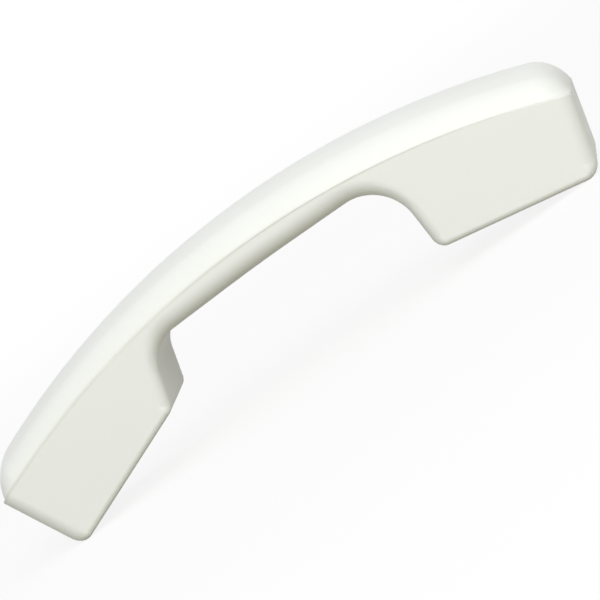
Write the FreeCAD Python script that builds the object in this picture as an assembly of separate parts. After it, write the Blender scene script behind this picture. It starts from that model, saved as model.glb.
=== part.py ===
"""Telephone handset: two moulded shells, a receiver, a microphone, a modular jack, leads and ballast.

Frame, in millimetres: X runs from the mouthpiece (-X) to the earpiece (+X), Y is the width, +Z is up.
The handset lies face down on the outer edges of its two blocks at Z = 0, with its back on top.
The origin is under the middle of the handset.
"""
import FreeCAD, Part
import math
import os

Vector = FreeCAD.Vector

# Overall size
length = 213.6               # between the end walls, at the parting line
width = 48.0
height = 54.7                # from the feet to the crown of the back
wall = 2.4                   # moulded wall of both shells

# Parting line between the two shells, an arc seen from the side
parting_radius = 278.0

# Rear cover
cover_rise = 9.5             # from the parting line's crest to the crown
crown_radius = 70.0          # the back's gentle crown across the width
crown_arc = 272.0            # the crown's line seen from the side, tighter than the parting line
crown_lead = 1.9             # from the middle to the crown's highest place, towards the earpiece
cover_draft = 25.0           # lean of the cover's rim, in degrees
cover_shoulder = 9.0         # rounding between the rim and the crown
cover_corner = 6.0           # upright corners of the cover, at the parting line
corner_top = 8.0             # the same where the rim ends
cover_end = 12.0             # rounding between the crown and the end walls
rim_drop = 0.15              # the rims' full width lies this far under the parting line's crest

# Front housing, seen from the side
foot_radius = 5.0            # rounding between each face and its end wall
mouth_toe = 14.75            # from the parting line's end to the middle of the foot's rounding
ear_toe = 10.4
mouth_face_run = 45.45       # from there to where the face meets its shoulder
ear_face_run = 49.0
mouth_tilt = 21.1            # degrees that each face rises towards the grip
ear_tilt = 10.9
mouth_shoulder_lean = 17.0   # degrees from upright
ear_shoulder_lean = 1.4
shoulder_corner = 4.2        # rounding between a face and its shoulder
mouth_hollow = 12.0          # hollow rounding between a shoulder and the grip
ear_hollow = 15.0
grip_depth = 8.0             # from the parting line's crest to the grip's underside
grip_rise = 0.9              # arch of the grip's underside
grip_arch = 600.0            # radius of that arch

# Rounding along the housing's long edges
end_edge = 5.0
face_edge = 2.0
shoulder_edge = 3.9
grip_edge = 6.0

# Seam between the shells
groove = 0.3                 # width and depth of the seam's groove
fit_gap = 0.15               # clearance between the lip and the housing
lip_thickness = 1.1
lip_depth = 1.8
lip_root = 2.0               # how far the lip and the hooks run up into the cover's wall
hook_width = 8.0
hook_offset = 14.0           # hooks' distance from the middle plane
hook_thickness = 1.8
hook_reach = 7.0
hook_zone = 30.0             # the hooks lie within this distance of the end walls
barb = 0.7
barb_height = 1.4
catch_gap = 0.3              # round a barb in its catch
cover_rib_depth = 3.0
cover_rib_thickness = 1.2
cover_rib_setbacks = (31.0, 55.0)    # from each end of the parting line

# Screws that hold the shells together, in the underside of the grip
case_screw_setback = 19.6    # from the ear block's shoulder, and the same place on the other side
screw_shank = 3.0
screw_head = 5.6
screw_head_height = 2.2
screw_length = 9.0
screw_clearance = 0.2
screw_recess = 1.2           # head's depth below the underside
screw_edge = 0.6             # slope round a head's rim
screw_seat = 1.6
screw_tube_wall = 1.3
boss_wall = 1.6
pilot_gap = 0.03
pilot_spare = 0.6            # pilot hole's depth past the screw's tip
press_gap = 0.05             # between parts that are pushed together

# Earpiece
receiver_setback = 23.6      # from the foot to the receiver's middle
dish_radius = 16.0
dish_depth = 1.1
dish_slope = 2.5             # width of the sloping rim of either dish
seat_height = 3.4            # inside seat, from the outer face
ear_hole = 2.0
ear_hole_rings = (0.0, 4.6, 9.2)
ear_hole_counts = (1, 6, 12)
ring_wall = 1.1
ring_gap = 0.4
ring_drop = 0.4              # ring's rim under the receiver's flange

# Receiver capsule, stacked along its axis from the seat
receiver_radius = 18.0
gasket_width = 3.2
gasket_thickness = 1.2
cloth_thickness = 0.3
cloth_gap = 0.2              # from the cloth's rim to the gasket
cap_plate = 0.8
cap_rim = 1.2
cap_height = 3.6
cap_hole = 2.4
cap_hole_rings = (0.0, 8.0)
cap_hole_counts = (1, 6)
flange_thickness = 1.2
frame_vent = 3.4
frame_vent_ring = 13.6
frame_vent_count = 6
frame_cup_wall = 1.4
coil_radius = 6.35           # middle of the voice coil's wall
coil_wall = 0.5
coil_length = 4.0
coil_gap = 0.3
film = 0.25                  # diaphragm's thickness
diaphragm_radius = 16.3
dome_rise = 1.2
dome_flat = 2.4              # radius of the dome's level top
roll_rise = 0.7
rim_width = 1.2              # level rim outside the roll
coil_seat_margin = 0.2       # level ring each side of the voice coil
coil_travel = 0.25           # each way
rim_room = 0.35              # left each side of the diaphragm at the ends of its travel
pole_thickness = 1.4
pole_setback = 1.0           # from the flange's front to the pole plate
magnet_step = 0.4            # magnet's rim inside the pole plate's
magnet_thickness = 3.0
yoke_wall = 1.6
yoke_base = 1.4
board_length = 22.0
board_width = 8.0
board_thickness = 1.0
board_corner = 2.0
lug_place = 8.0
lug_thickness = 0.5
lug_breadth = 2.4
lug_rise = 3.0
lug_foot_reach = 1.4
lug_foot_thickness = 0.4
suppressor_radius = 3.5
suppressor_thickness = 1.6

# Clamp that holds the receiver on its seat
clamp_thickness = 1.8
clamp_width = 5.6
post_place = 22.0
post_radius = 2.8
clamp_ear_margin = 0.2
clamp_screw_shank = 2.5
clamp_screw_head = 4.6
clamp_screw_head_height = 1.4
clamp_screw_length = 6.0

# Mouthpiece
microphone_setback = 25.05   # from the foot to the microphone's middle
mouth_seat_height = 3.0
mouth_dish_radius = 12.0
mouth_dish_depth = 0.6
mouth_hole = 1.6
mouth_hole_rings = (0.0, 3.4)
mouth_hole_counts = (1, 6)
microphone_radius = 4.85
microphone_length = 6.5
microphone_wall = 0.35
microphone_port = 1.0
microphone_board = 0.6
boot_wall = 1.9
boot_floor = 0.8
boot_port = 2.6
boot_height = 7.6
boot_gap = 0.2               # from the boot to the housing's cup
cup_height = 5.1             # of the housing's cup round the boot
mouth_cloth_thickness = 0.4
mouth_cloth_margin = 0.8

# Modular jack, four contacts, in the mouthpiece's end wall
jack_recess = 7.2            # from the parting line's end in to the jack's front
jack_headroom = 2.7          # from the jack's top up to the parting line's end
jack_length = 15.0
jack_width = 11.2
jack_height = 11.0
jack_gap = 0.15
socket_width = 7.8
socket_height = 6.8
socket_floor = 1.7
socket_depth = 12.3
latch_width = 3.4
latch_depth = 1.0
jack_flange = 1.0
jack_flange_thickness = 1.5
jack_flange_place = 2.8      # from the jack's front
jack_frame_wall = 1.6
contact_pitch = 1.27
contact_count = 4
contact_width = 0.5
contact_thickness = 0.35
contact_pivot = 2.6          # behind the jack's front
contact_drop = 0.9           # the contacts' bend, from the lead down to the spring
contact_length = 8.0
contact_slope = 15.0         # degrees that a contact hangs down into the socket
contact_gap = 0.12
channel_width = 5.6
channel_length = 11.5
channel_lead = 1.2           # from the channel's front to the contacts' pivot
lead_line = 1.2              # lead's axis below the jack's top
insert_length = 2.2
insert_width = 10.0
insert_height = 8.0
tail_length = 2.0
slot_gap = 0.1               # round the contacts where they pass through the jack

# Ballast in the grip
ballast_end_gap = 9.8        # from a case screw's axis to the ballast's end
ballast_width = 26.0
ballast_thickness = 5.0
ballast_corner = 2.0
pad_thickness = 0.6
pad_margin = 1.0
stop_thickness = 1.2
stop_height = 2.5
stop_gap = 0.2               # from a stop to the ballast

# Coloured leads
lead_diameter = 1.1
lead_gap = 0.3               # from a contact's tail to its lead
lug_gap = 0.15               # from a lug to its lead

# Derived places
half_length = length / 2
half_width = width / 2
parting_crest = height - cover_rise
arc_centre = parting_crest - parting_radius
parting_end = arc_centre + math.sqrt(parting_radius ** 2 - half_length ** 2)
mouth_foot = half_length - mouth_toe
ear_foot = half_length - ear_toe
mouth_shoulder = mouth_foot - mouth_face_run
ear_shoulder = ear_foot - ear_face_run
mouth_middle = microphone_setback - mouth_foot
ear_middle = ear_foot - receiver_setback
case_screw_place = ear_shoulder - case_screw_setback
ballast_length = 2 * (case_screw_place - ballast_end_gap)
tall = height + 20.0
margin = 5.0
parting_swing = math.degrees(math.asin(half_length / parting_radius))
spare_swing = 4.0

# Middle of the rounding between the cover's leaning rim and its crown, seen along the handset
draft = math.radians(cover_draft)
rim_level = parting_crest - rim_drop
crown_middle = height - crown_radius
shoulder_reach = crown_radius - cover_shoulder
rim_reach = (
    half_width - (crown_middle - rim_level) * math.tan(draft) - cover_shoulder / math.cos(draft)
)
across_rim = rim_reach * math.cos(draft)
along_rim = math.sqrt(shoulder_reach ** 2 - across_rim ** 2)
shoulder_rise = across_rim * math.sin(draft) + along_rim * math.cos(draft)
shoulder_z = crown_middle + shoulder_rise
shoulder_y = rim_reach - shoulder_rise * math.tan(draft)

# Jack
jack_front = jack_recess - half_length
jack_top = parting_end - jack_headroom
jack_bottom = jack_top - jack_height
socket_bottom = jack_bottom + socket_floor
socket_top = socket_bottom + socket_height
lead_height = jack_top - lead_line
pivot_height = lead_height - contact_drop

document = FreeCAD.newDocument("handset")


def tangent_lean(foot, end):
    """Degrees from upright of the end wall that runs from the parting line's end to a foot's rounding."""
    across = end - foot
    up = parting_end - foot_radius
    reach = math.hypot(across, up)
    return math.degrees(math.atan2(across, up) - math.asin(foot_radius / reach))


mouth_end_lean = tangent_lean(mouth_foot, half_length)
ear_end_lean = tangent_lean(ear_foot, half_length)


def block_corners():
    """Corners (x, z, rounding) of the housing's side view, each followed by the rounding of the next edge.

    The end walls run on past the parting line up to a straight top, which is trimmed off later.
    """
    corners = []
    for side, foot, tilt, shoulder, lean, hollow, end_lean in (
        (-1, mouth_foot, mouth_tilt, mouth_shoulder, mouth_shoulder_lean, mouth_hollow, mouth_end_lean),
        (1, ear_foot, ear_tilt, ear_shoulder, ear_shoulder_lean, ear_hollow, ear_end_lean),
    ):
        tan_tilt = math.tan(math.radians(tilt))
        tan_end = math.tan(math.radians(end_lean))
        # The face touches the foot's rounding: its height at the foot's middle.
        face_height = foot_radius - foot_radius / math.cos(math.radians(tilt))
        # The end wall's distance out at height zero.
        wall_foot = half_length - parting_end * tan_end
        foot_x = (wall_foot + tan_end * (face_height + foot * tan_tilt)) / (1 + tan_end * tan_tilt)
        foot_z = face_height + (foot - foot_x) * tan_tilt
        shoulder_z = face_height + (foot - shoulder) * tan_tilt
        grip_z = parting_crest - grip_depth - grip_rise
        grip_x = shoulder - (grip_z - shoulder_z) * math.tan(math.radians(lean))
        top_x = wall_foot + tall * tan_end
        half = [
            (side * top_x, tall, 0.0, end_edge),
            (side * foot_x, foot_z, foot_radius, face_edge),
            (side * shoulder, shoulder_z, shoulder_corner, shoulder_edge),
            (side * grip_x, grip_z, hollow, grip_edge),
        ]
        corners.append(half)
    mouth, ear = corners
    middle = (0.0, parting_crest - grip_depth, grip_arch, grip_edge)
    # On the way up the ear side, each edge lies before its corner in the list above.
    climbing = []
    for position, corner in enumerate(reversed(ear)):
        following = ear[2 - position][3] if position < 3 else 0.0
        climbing.append(corner[:3] + (following,))
    return mouth + [middle] + climbing


def turn_at(corners, index):
    """Unit vectors back and ahead from a corner, and whether the outline turns outwards there."""
    count = len(corners)
    here = Vector(corners[index][0], 0, corners[index][1])
    before = corners[index - 1]
    after = corners[(index + 1) % count]
    back = (Vector(before[0], 0, before[1]) - here).normalize()
    ahead = (Vector(after[0], 0, after[1]) - here).normalize()
    return here, back, ahead, back.cross(ahead).y > 0


def inset_corners(corners, inset):
    """The same outline moved inwards, with its roundings to match and all its edges rounded alike."""
    moved = []
    for index, (x, z, rounding, edge) in enumerate(corners):
        here, back, ahead, outward = turn_at(corners, index)
        sign = 1 if outward else -1
        shift = (back + ahead).normalize() * (sign * inset / math.sin(back.getAngle(ahead) / 2))
        place = here + shift
        if rounding > 0:
            rounding = max(rounding - sign * inset, 0.3)
        if edge > 0:
            edge = max(end_edge - inset, 0.25)
        moved.append((place.x, place.z, rounding, edge))
    return moved


def outline_edges(corners, y):
    """Edges of the rounded outline at y, and the edge rounding that goes with each of its points."""
    count = len(corners)
    joints = []
    for index in range(count):
        here, back, ahead, _ = turn_at(corners, index)
        here.y = y
        half = back.getAngle(ahead) / 2
        rounding = corners[index][2]
        start = here + back * (rounding / math.tan(half))
        end = here + ahead * (rounding / math.tan(half))
        middle = here + (back + ahead).normalize() * (rounding / math.sin(half) - rounding)
        joints.append((start, middle, end))
    edges = []
    radii = {}
    for index, (start, middle, end) in enumerate(joints):
        if corners[index][2] > 0:
            edges.append(Part.Arc(start, middle, end).toShape())
        edges.append(Part.LineSegment(end, joints[(index + 1) % count][0]).toShape())
        radii[point_key(start)] = corners[index - 1][3]
        radii[point_key(end)] = corners[index][3]
    # The two top corners stand at the head of an end wall.
    radii[point_key(joints[-1][0])] = corners[-2][3]
    return edges, radii


def point_key(point):
    """A point's place in the side view, rounded so that it can be looked up."""
    return round(point.x, 2), round(point.z, 2)


def round_edges(solid, picked):
    """Round edges by (number, first radius, last radius), each radius running evenly along its edge."""
    sharp = document.addObject("Part::Feature", "sharp")
    sharp.Shape = solid
    fillet = document.addObject("Part::Fillet", "fillet")
    fillet.Base = sharp
    fillet.Edges = picked
    document.recompute()
    return fillet.Shape.Solids[0]


def housing_block(inset=0.0):
    """The front housing's outer form, moved inwards by inset, tall enough to be trimmed at the parting."""
    corners = block_corners()
    if inset > 0:
        corners = inset_corners(corners, inset)
    side = half_width - inset
    edges, radii = outline_edges(corners, -side)
    solid = Part.Face(Part.Wire(edges)).extrude(Vector(0, 2 * side, 0))
    top = corners[0][1]
    picked = []
    for number, edge in enumerate(solid.Edges, 1):
        first = edge.valueAt(edge.FirstParameter)
        last = edge.valueAt(edge.LastParameter)
        along_side = abs(abs(first.y) - side) < 0.01 and abs(first.y - last.y) < 0.01
        if along_side and min(first.z, last.z) < top - 1.0:
            picked.append((number, radii[point_key(first)], radii[point_key(last)]))
    return round_edges(solid, picked)


def under_parting(drop=0.0):
    """Everything below the parting surface, or below a surface that lies drop under it."""
    start = Vector(0, -width, arc_centre)
    return Part.makeCylinder(parting_radius - drop, 2 * width, start, Vector(0, 1, 0))


def cover_base(inset):
    """Level where the cover's form starts, under the parting line all along the handset."""
    return rim_level - rim_drop - (margin if inset > 0 else 0.0)


def cover_section(inset):
    """Section across the cover: leaning rims, rounded shoulders and the crown's arc, moved in by inset."""
    rounding = cover_shoulder - inset
    spoke = math.atan2(shoulder_rise, shoulder_y)
    low, between, high = [
        Vector(crown_lead, shoulder_y + rounding * math.cos(angle), shoulder_z + rounding * math.sin(angle))
        for angle in (draft, (draft + spoke) / 2, spoke)
    ]
    base = cover_base(inset)
    foot_y = half_width - inset / math.cos(draft) - (base - rim_level) * math.tan(draft)
    foot = Vector(crown_lead, foot_y, base)
    top = Vector(crown_lead, 0, height - inset)

    def across(point):
        """The same point on the other side."""
        return Vector(point.x, -point.y, point.z)

    return Part.Wire([
        Part.LineSegment(across(foot), across(low)).toShape(),
        Part.Arc(across(low), across(between), across(high)).toShape(),
        Part.Arc(across(high), top, high).toShape(),
        Part.Arc(high, between, low).toShape(),
        Part.LineSegment(low, foot).toShape(),
        Part.LineSegment(foot, across(foot)).toShape(),
    ])


def end_wall_trim(side, inset):
    """Everything beyond the cover's leaning end wall on one side."""
    trim = Part.makeBox(2 * tall, 2 * width, 4 * tall, Vector(-inset, -width, -2 * tall))
    trim.rotate(Vector(0, 0, 0), Vector(0, 1, 0), parting_swing - cover_draft)
    trim.translate(Vector(half_length, 0, parting_end))
    return trim if side > 0 else trim.mirror(Vector(0, 0, 0), Vector(1, 0, 0))


def cover_form(inset=0.0):
    """The rear cover's outer form, moved inwards by inset, and started under the parting surface."""
    centre = Vector(crown_lead, 0, height - crown_arc)
    swing = parting_swing + spare_swing
    face = Part.Face(cover_section(inset))
    face.rotate(centre, Vector(0, 1, 0), -swing)
    form = face.revolve(centre, Vector(0, 1, 0), 2 * swing)
    form = form.cut([end_wall_trim(-1, inset), end_wall_trim(1, inset)])
    base_reach = cover_base(inset) - centre.z

    def rounding_at(point):
        """Rounding of an end wall's upper edge: tight at the foot of a corner, wide across the crown."""
        if math.hypot(point.x - centre.x, point.z - centre.z) < base_reach + 0.01:
            return max(cover_corner - inset, 0.5)
        past_rim = abs(point.y) < shoulder_y + (cover_shoulder - inset) * math.cos(draft) - 0.5
        return max((cover_end if past_rim else corner_top) - inset, 0.5)

    picked = []
    for number, edge in enumerate(form.Edges, 1):
        ends = [edge.valueAt(edge.FirstParameter), edge.valueAt(edge.LastParameter)]
        on_one_wall = ends[0].x * ends[1].x > 0 and min(abs(end.x) for end in ends) > mouth_foot
        reaches = [math.hypot(end.x - centre.x, end.z - centre.z) for end in ends]
        if on_one_wall and max(reaches) > base_reach + 0.01:
            picked.append((number, rounding_at(ends[0]), rounding_at(ends[1])))
    return round_edges(form, picked)


def box_between(low, high):
    """A box from its low corner to its high corner."""
    return Part.makeBox(high[0] - low[0], high[1] - low[1], high[2] - low[2], Vector(*low))


def disc(radius, low, high, x=0.0, y=0.0):
    """A round solid along Z."""
    return Part.makeCylinder(radius, high - low, Vector(x, y, low))


def tube(outer, inner, low, high, x=0.0, y=0.0):
    """A round tube along Z."""
    return disc(outer, low, high, x, y).cut(disc(inner, low - 1, high + 1, x, y))


def hole_pattern(radius, rings, counts, low, high):
    """Round holes along Z, set out on rings with a count for each."""
    holes = []
    for ring, count in zip(rings, counts):
        for step in range(count):
            angle = 2 * math.pi * step / count
            holes.append(disc(radius, low, high, ring * math.cos(angle), ring * math.sin(angle)))
    return Part.Compound(holes)


def dish(radius, depth):
    """A shallow flat-bottomed hollow with a sloping rim, to cut into a face at Z = 0."""
    return Part.makeCone(radius + dish_slope, radius - dish_slope, 2 * depth, Vector(0, 0, -depth))


def face_height(x):
    """Height of a block's flat face at a place along the handset."""
    foot, tilt = (ear_foot, ear_tilt) if x > 0 else (mouth_foot, mouth_tilt)
    at_foot = foot_radius - foot_radius / math.cos(math.radians(tilt))
    return at_foot + (foot - abs(x)) * math.tan(math.radians(tilt))


def face_frame(x, tilt):
    """Frame on a block's face, with Z pointing into the block."""
    return FreeCAD.Placement(Vector(x, 0, face_height(x)), FreeCAD.Rotation(Vector(0, 1, 0), tilt))


ear_frame = face_frame(ear_middle, ear_tilt)
mouth_frame = face_frame(mouth_middle, -mouth_tilt)


def placed(shape, frame):
    """A copy of a shape carried into a frame."""
    copy = shape.copy()
    copy.Placement = frame.multiply(copy.Placement)
    return copy


# Heights of the receiver's stack in the earpiece's frame
cap_front = seat_height + gasket_thickness
cap_inside = cap_front + cap_plate
flange_front = cap_front + cap_height
flange_back = flange_front + flange_thickness
film_back = flange_front - coil_travel - rim_room
coil_back = film_back + coil_length
pole_front = flange_front + pole_setback
pole_back = pole_front + pole_thickness
magnet_back = pole_back + magnet_thickness
yoke_back = magnet_back + yoke_base
board_back = yoke_back + board_thickness
yoke_inner = coil_radius + coil_wall / 2 + coil_gap
yoke_outer = yoke_inner + yoke_wall
pole_radius = coil_radius - coil_wall / 2 - coil_gap
frame_bore = yoke_outer + press_gap
frame_cup_back = magnet_back
ring_inner = receiver_radius + ring_gap

# Heights of the microphone's stack in the mouthpiece's frame
boot_front = mouth_seat_height + mouth_cloth_thickness
capsule_front = boot_front + boot_floor
capsule_back = capsule_front + microphone_length
boot_inner = microphone_radius + press_gap
boot_outer = boot_inner + boot_wall

# Case screws
underside = parting_crest - grip_depth - grip_rise * case_screw_place / ear_shoulder
screw_head_front = underside + screw_recess
screw_head_back = screw_head_front + screw_head_height
screw_tube_top = screw_head_back + screw_seat
screw_tip = screw_head_back + screw_length
ballast_floor = parting_crest - grip_depth + wall


def seam_ring(outer_inset, thickness, low_drop, high_drop):
    """A band that follows the housing's wall, between two depths under the parting surface."""
    ring = housing_block(outer_inset).cut(housing_block(outer_inset + thickness))
    band = under_parting(high_drop).cut(under_parting(low_drop))
    return ring.common(band)


def hook_boxes(spare):
    """Boxes round the four hooks, wider than a hook by spare each way."""
    boxes = []
    for end in (-1, 1):
        for side in (-1, 1):
            low_x = min(end * (half_length - hook_zone), end * (half_length + margin))
            low_y = side * hook_offset - hook_width / 2 - spare
            high_y = side * hook_offset + hook_width / 2 + spare
            high_x = low_x + hook_zone + margin
            boxes.append(box_between((low_x, low_y, -margin), (high_x, high_y, tall)))
    return Part.Compound(boxes)


def rear_cover():
    """Back shell: crowned form, rim lip, ribs, hooks and the two screw bosses."""
    form = cover_form().cut(under_parting())
    inside = cover_form(wall)
    shell = form.cut(inside)
    ribs = []
    rib_places = [side * (half_length - setback) for side in (-1, 1) for setback in cover_rib_setbacks]
    for place in rib_places:
        slab = box_between(
            (place - cover_rib_thickness / 2, -half_width, parting_end),
            (place + cover_rib_thickness / 2, half_width, height),
        )
        ribs.append(slab.common(form).cut(cover_form(wall + cover_rib_depth)))
    rooted = cover_form(wall / 2).fuse(under_parting())
    lip = seam_ring(wall + fit_gap, lip_thickness, lip_depth, -lip_root).common(rooted)
    hooks = seam_ring(wall + fit_gap, hook_thickness, hook_reach, -lip_root).common(hook_boxes(0.0))
    barbs = seam_ring(wall + fit_gap - barb, barb + 0.5, hook_reach, hook_reach - barb_height)
    bosses = []
    holes = []
    for place in (-case_screw_place, case_screw_place):
        hole_radius = screw_shank / 2 + pilot_gap
        boss = disc(hole_radius + boss_wall, screw_tube_top, height, place)
        below = boss.common(under_parting())
        bosses.append(boss.common(form).fuse(below))
        holes.append(disc(hole_radius, screw_tube_top - 1, screw_tip + pilot_spare, place))
    inner = [lip, hooks, barbs.common(hook_boxes(0.0))] + ribs + bosses
    return shell.fuse(inner).cut(holes).removeSplitter()


def ear_details():
    """What the earpiece adds inside the housing and cuts from it, in the earpiece's frame."""
    ring = tube(ring_inner + ring_wall, ring_inner, wall / 2, flange_back - ring_drop)
    seat = disc(ring_inner + ring_wall / 2, wall / 2, seat_height)
    posts = [disc(post_radius, wall / 2, flange_back, side * post_place) for side in (-1, 1)]
    pilot = clamp_screw_shank / 2 + pilot_gap
    depth = flange_back + clamp_thickness - clamp_screw_length - pilot_spare
    pilots = [disc(pilot, depth, flange_back + 1, side * post_place) for side in (-1, 1)]
    holes = hole_pattern(ear_hole / 2, ear_hole_rings, ear_hole_counts, -1, seat_height + 1)
    added = ring.fuse([seat] + posts)
    removed = Part.Compound(pilots + [holes, dish(dish_radius, dish_depth)])
    return placed(added, ear_frame), placed(removed, ear_frame)


def mouth_details():
    """What the mouthpiece adds inside the housing and cuts from it, in the mouthpiece's frame."""
    inner = boot_outer + boot_gap
    cup = tube(inner + ring_wall, inner, wall / 2, boot_front + cup_height)
    seat = disc(inner + ring_wall / 2, wall / 2, mouth_seat_height)
    holes = hole_pattern(mouth_hole / 2, mouth_hole_rings, mouth_hole_counts, -1, mouth_seat_height + 1)
    removed = Part.Compound([holes, dish(mouth_dish_radius, mouth_dish_depth)])
    return placed(cup.fuse(seat), mouth_frame), placed(removed, mouth_frame)


def jack_details():
    """Frame round the jack's nose, the cradle under it, and the window through the end wall."""
    side = jack_width / 2 + jack_gap
    low = jack_bottom - jack_gap
    high = jack_top + jack_gap
    back = jack_front + jack_flange_place
    outside = side + jack_frame_wall
    nose = box_between(
        (-half_length, -outside, low - jack_frame_wall),
        (back, outside, high + jack_frame_wall),
    )
    window = box_between((-half_length - margin, -side, low), (back + margin, side, high))
    cradle_end = jack_front + jack_length
    cradle = []
    for y in (-side - jack_frame_wall, side):
        rail_top = jack_bottom + jack_height / 2
        cradle.append(box_between((back, y, 0), (cradle_end, y + jack_frame_wall, rail_top)))
    support = box_between((back, -side, 0), (cradle_end, side, jack_bottom))
    rib_gap = box_between(
        (back - 1, -side + jack_frame_wall, 0),
        (cradle_end + 1, side - jack_frame_wall, jack_bottom),
    )
    rail_room = box_between(
        (back, -side - jack_flange, jack_bottom - jack_flange),
        (back + jack_flange_thickness + jack_gap, side + jack_flange, jack_top),
    )
    added = nose.fuse(cradle + [support.cut(rib_gap)])
    return added, Part.Compound([window, rail_room])


def ballast_stops():
    """Two low ribs that stop the ballast from sliding along the grip."""
    stops = []
    for side in (-1, 1):
        near = side * (ballast_length / 2 + stop_gap)
        far = near + side * stop_thickness
        low = (min(near, far), -ballast_width / 2, ballast_floor - wall / 2)
        high = (max(near, far), ballast_width / 2, ballast_floor + stop_height)
        stops.append(box_between(low, high))
    return stops


def front_housing():
    """Front shell: two blocks joined by the grip, open at the parting line."""
    block = housing_block().common(under_parting())
    shell = block.cut(housing_block(wall))
    ear_added, ear_removed = ear_details()
    mouth_added, mouth_removed = mouth_details()
    jack_added, jack_removed = jack_details()
    tubes = []
    recesses = []
    for place in (-case_screw_place, case_screw_place):
        head_room = screw_head / 2 + screw_clearance
        tubes.append(disc(head_room + screw_tube_wall, underside + wall / 2, screw_tube_top, place))
        recesses.append(disc(head_room, underside - margin, screw_head_back, place))
        recesses.append(disc(screw_shank / 2 + screw_clearance, underside, screw_tube_top + 1, place))
    added = [ear_added, mouth_added, jack_added] + tubes + ballast_stops()
    inner = [shape.common(block) for shape in added]
    shell = shell.fuse(inner)
    seam = seam_ring(0.0, groove, groove, -1.0)
    catches = seam_ring(
        wall - barb - fit_gap, barb + 0.4, hook_reach + catch_gap, hook_reach - barb_height - catch_gap
    )
    catches = catches.common(hook_boxes(catch_gap))
    removed = [ear_removed, mouth_removed, jack_removed, seam, catches] + recesses
    return shell.cut(removed).removeSplitter()


def screw(shank, head, head_height, reach, place, seat):
    """A pan-headed screw that points up from its seat."""
    body = disc(shank / 2, seat, seat + reach, place)
    crown = Part.makeCone(
        head / 2 - screw_edge, head / 2, screw_edge, Vector(place, 0, seat - head_height)
    )
    cap = disc(head / 2, seat - head_height + screw_edge, seat, place)
    return body.fuse([cap, crown]).removeSplitter()


def housing_screws():
    """The two screws in the grip."""
    screws = []
    for place in (-case_screw_place, case_screw_place):
        screws.append(
            screw(screw_shank, screw_head, screw_head_height, screw_length, place, screw_head_back)
        )
    return Part.Compound(screws)


def receiver_clamp():
    """Ring that presses the receiver's flange on its seat, with an ear over each post."""
    top = flange_back + clamp_thickness
    ring = disc(receiver_radius + ring_gap + ring_wall, flange_back, top)
    ears = [disc(post_radius + clamp_ear_margin, flange_back, top, side * post_place) for side in (-1, 1)]
    arms = box_between((-post_place, -post_radius, flange_back), (post_place, post_radius, top))
    opening = disc(receiver_radius + ring_gap + ring_wall - clamp_width, flange_back - 1, top + 1)
    holes = [
        disc(clamp_screw_shank / 2 + screw_clearance, flange_back - 1, top + 1, side * post_place)
        for side in (-1, 1)
    ]
    return placed(ring.fuse(ears + [arms]).cut([opening] + holes), ear_frame)


def receiver_clamp_screws():
    """The two small screws through the clamp's ears, heads towards the back."""
    screws = []
    for side in (-1, 1):
        upright = screw(
            clamp_screw_shank, clamp_screw_head, clamp_screw_head_height, clamp_screw_length, 0.0, 0.0
        )
        upright.rotate(Vector(0, 0, 0), Vector(1, 0, 0), 180)
        upright.translate(Vector(side * post_place, 0, flange_back + clamp_thickness))
        screws.append(upright)
    return placed(Part.Compound(screws), ear_frame)


def ear_dust_cloth():
    """Thin cloth behind the ear holes."""
    cloth = disc(receiver_radius - gasket_width - cloth_gap, seat_height, seat_height + cloth_thickness)
    return placed(cloth, ear_frame)


def receiver_gasket():
    """Soft ring between the receiver and its seat."""
    return placed(tube(receiver_radius, receiver_radius - gasket_width, seat_height, cap_front), ear_frame)


def receiver_front_cap():
    """Perforated cap over the diaphragm, with a rim that the frame sits on."""
    cap = disc(receiver_radius, cap_front, flange_front)
    room = disc(receiver_radius - cap_rim, cap_inside, flange_front + 1)
    holes = hole_pattern(cap_hole / 2, cap_hole_rings, cap_hole_counts, cap_front - 1, cap_inside + 1)
    return placed(cap.cut([room, holes]), ear_frame)


def receiver_diaphragm():
    """Thin film with a dome in the middle and a raised roll round it."""
    seat_in = coil_radius - coil_wall / 2 - coil_seat_margin
    seat_out = coil_radius + coil_wall / 2 + coil_seat_margin
    rim_in = diaphragm_radius - rim_width
    skin = [
        (0.0, dome_rise),
        (dome_flat, dome_rise),
        (seat_in, 0.0),
        (seat_out, 0.0),
        ((seat_out + rim_in) / 2, roll_rise),
        (rim_in, 0.0),
        (diaphragm_radius, 0.0),
    ]
    back = [Vector(x, 0, film_back - rise) for x, rise in skin]
    front = [Vector(x, 0, film_back - film - rise) for x, rise in skin]
    section = Part.Face(Part.makePolygon(front + back[::-1] + front[:1]))
    return placed(section.revolve(Vector(0, 0, 0), Vector(0, 0, 1), 360), ear_frame)


def receiver_voice_coil():
    """Coil glued behind the dome, hanging in the magnet's gap."""
    outer = coil_radius + coil_wall / 2
    return placed(tube(outer, outer - coil_wall, film_back, coil_back), ear_frame)


def receiver_pole_plate():
    """Steel disc in front of the magnet."""
    return placed(disc(pole_radius, pole_front, pole_back), ear_frame)


def receiver_magnet():
    """Magnet disc between the pole plate and the yoke."""
    return placed(disc(pole_radius - magnet_step, pole_back, magnet_back), ear_frame)


def receiver_yoke():
    """Steel cup round the magnet."""
    cup = disc(yoke_outer, pole_front, yoke_back)
    return placed(cup.cut(disc(yoke_inner, pole_front - 1, magnet_back)), ear_frame)


def receiver_frame():
    """Moulded frame that holds the yoke, with vents through its flange."""
    flange = disc(receiver_radius, flange_front, flange_back)
    cup = disc(frame_bore + frame_cup_wall, flange_front, frame_cup_back)
    bore = disc(frame_bore, flange_front - 1, frame_cup_back + 1)
    vents = hole_pattern(
        frame_vent / 2, (frame_vent_ring,), (frame_vent_count,), flange_front - 1, flange_back + 1
    )
    return placed(flange.fuse(cup).cut([bore, vents]), ear_frame)


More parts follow.
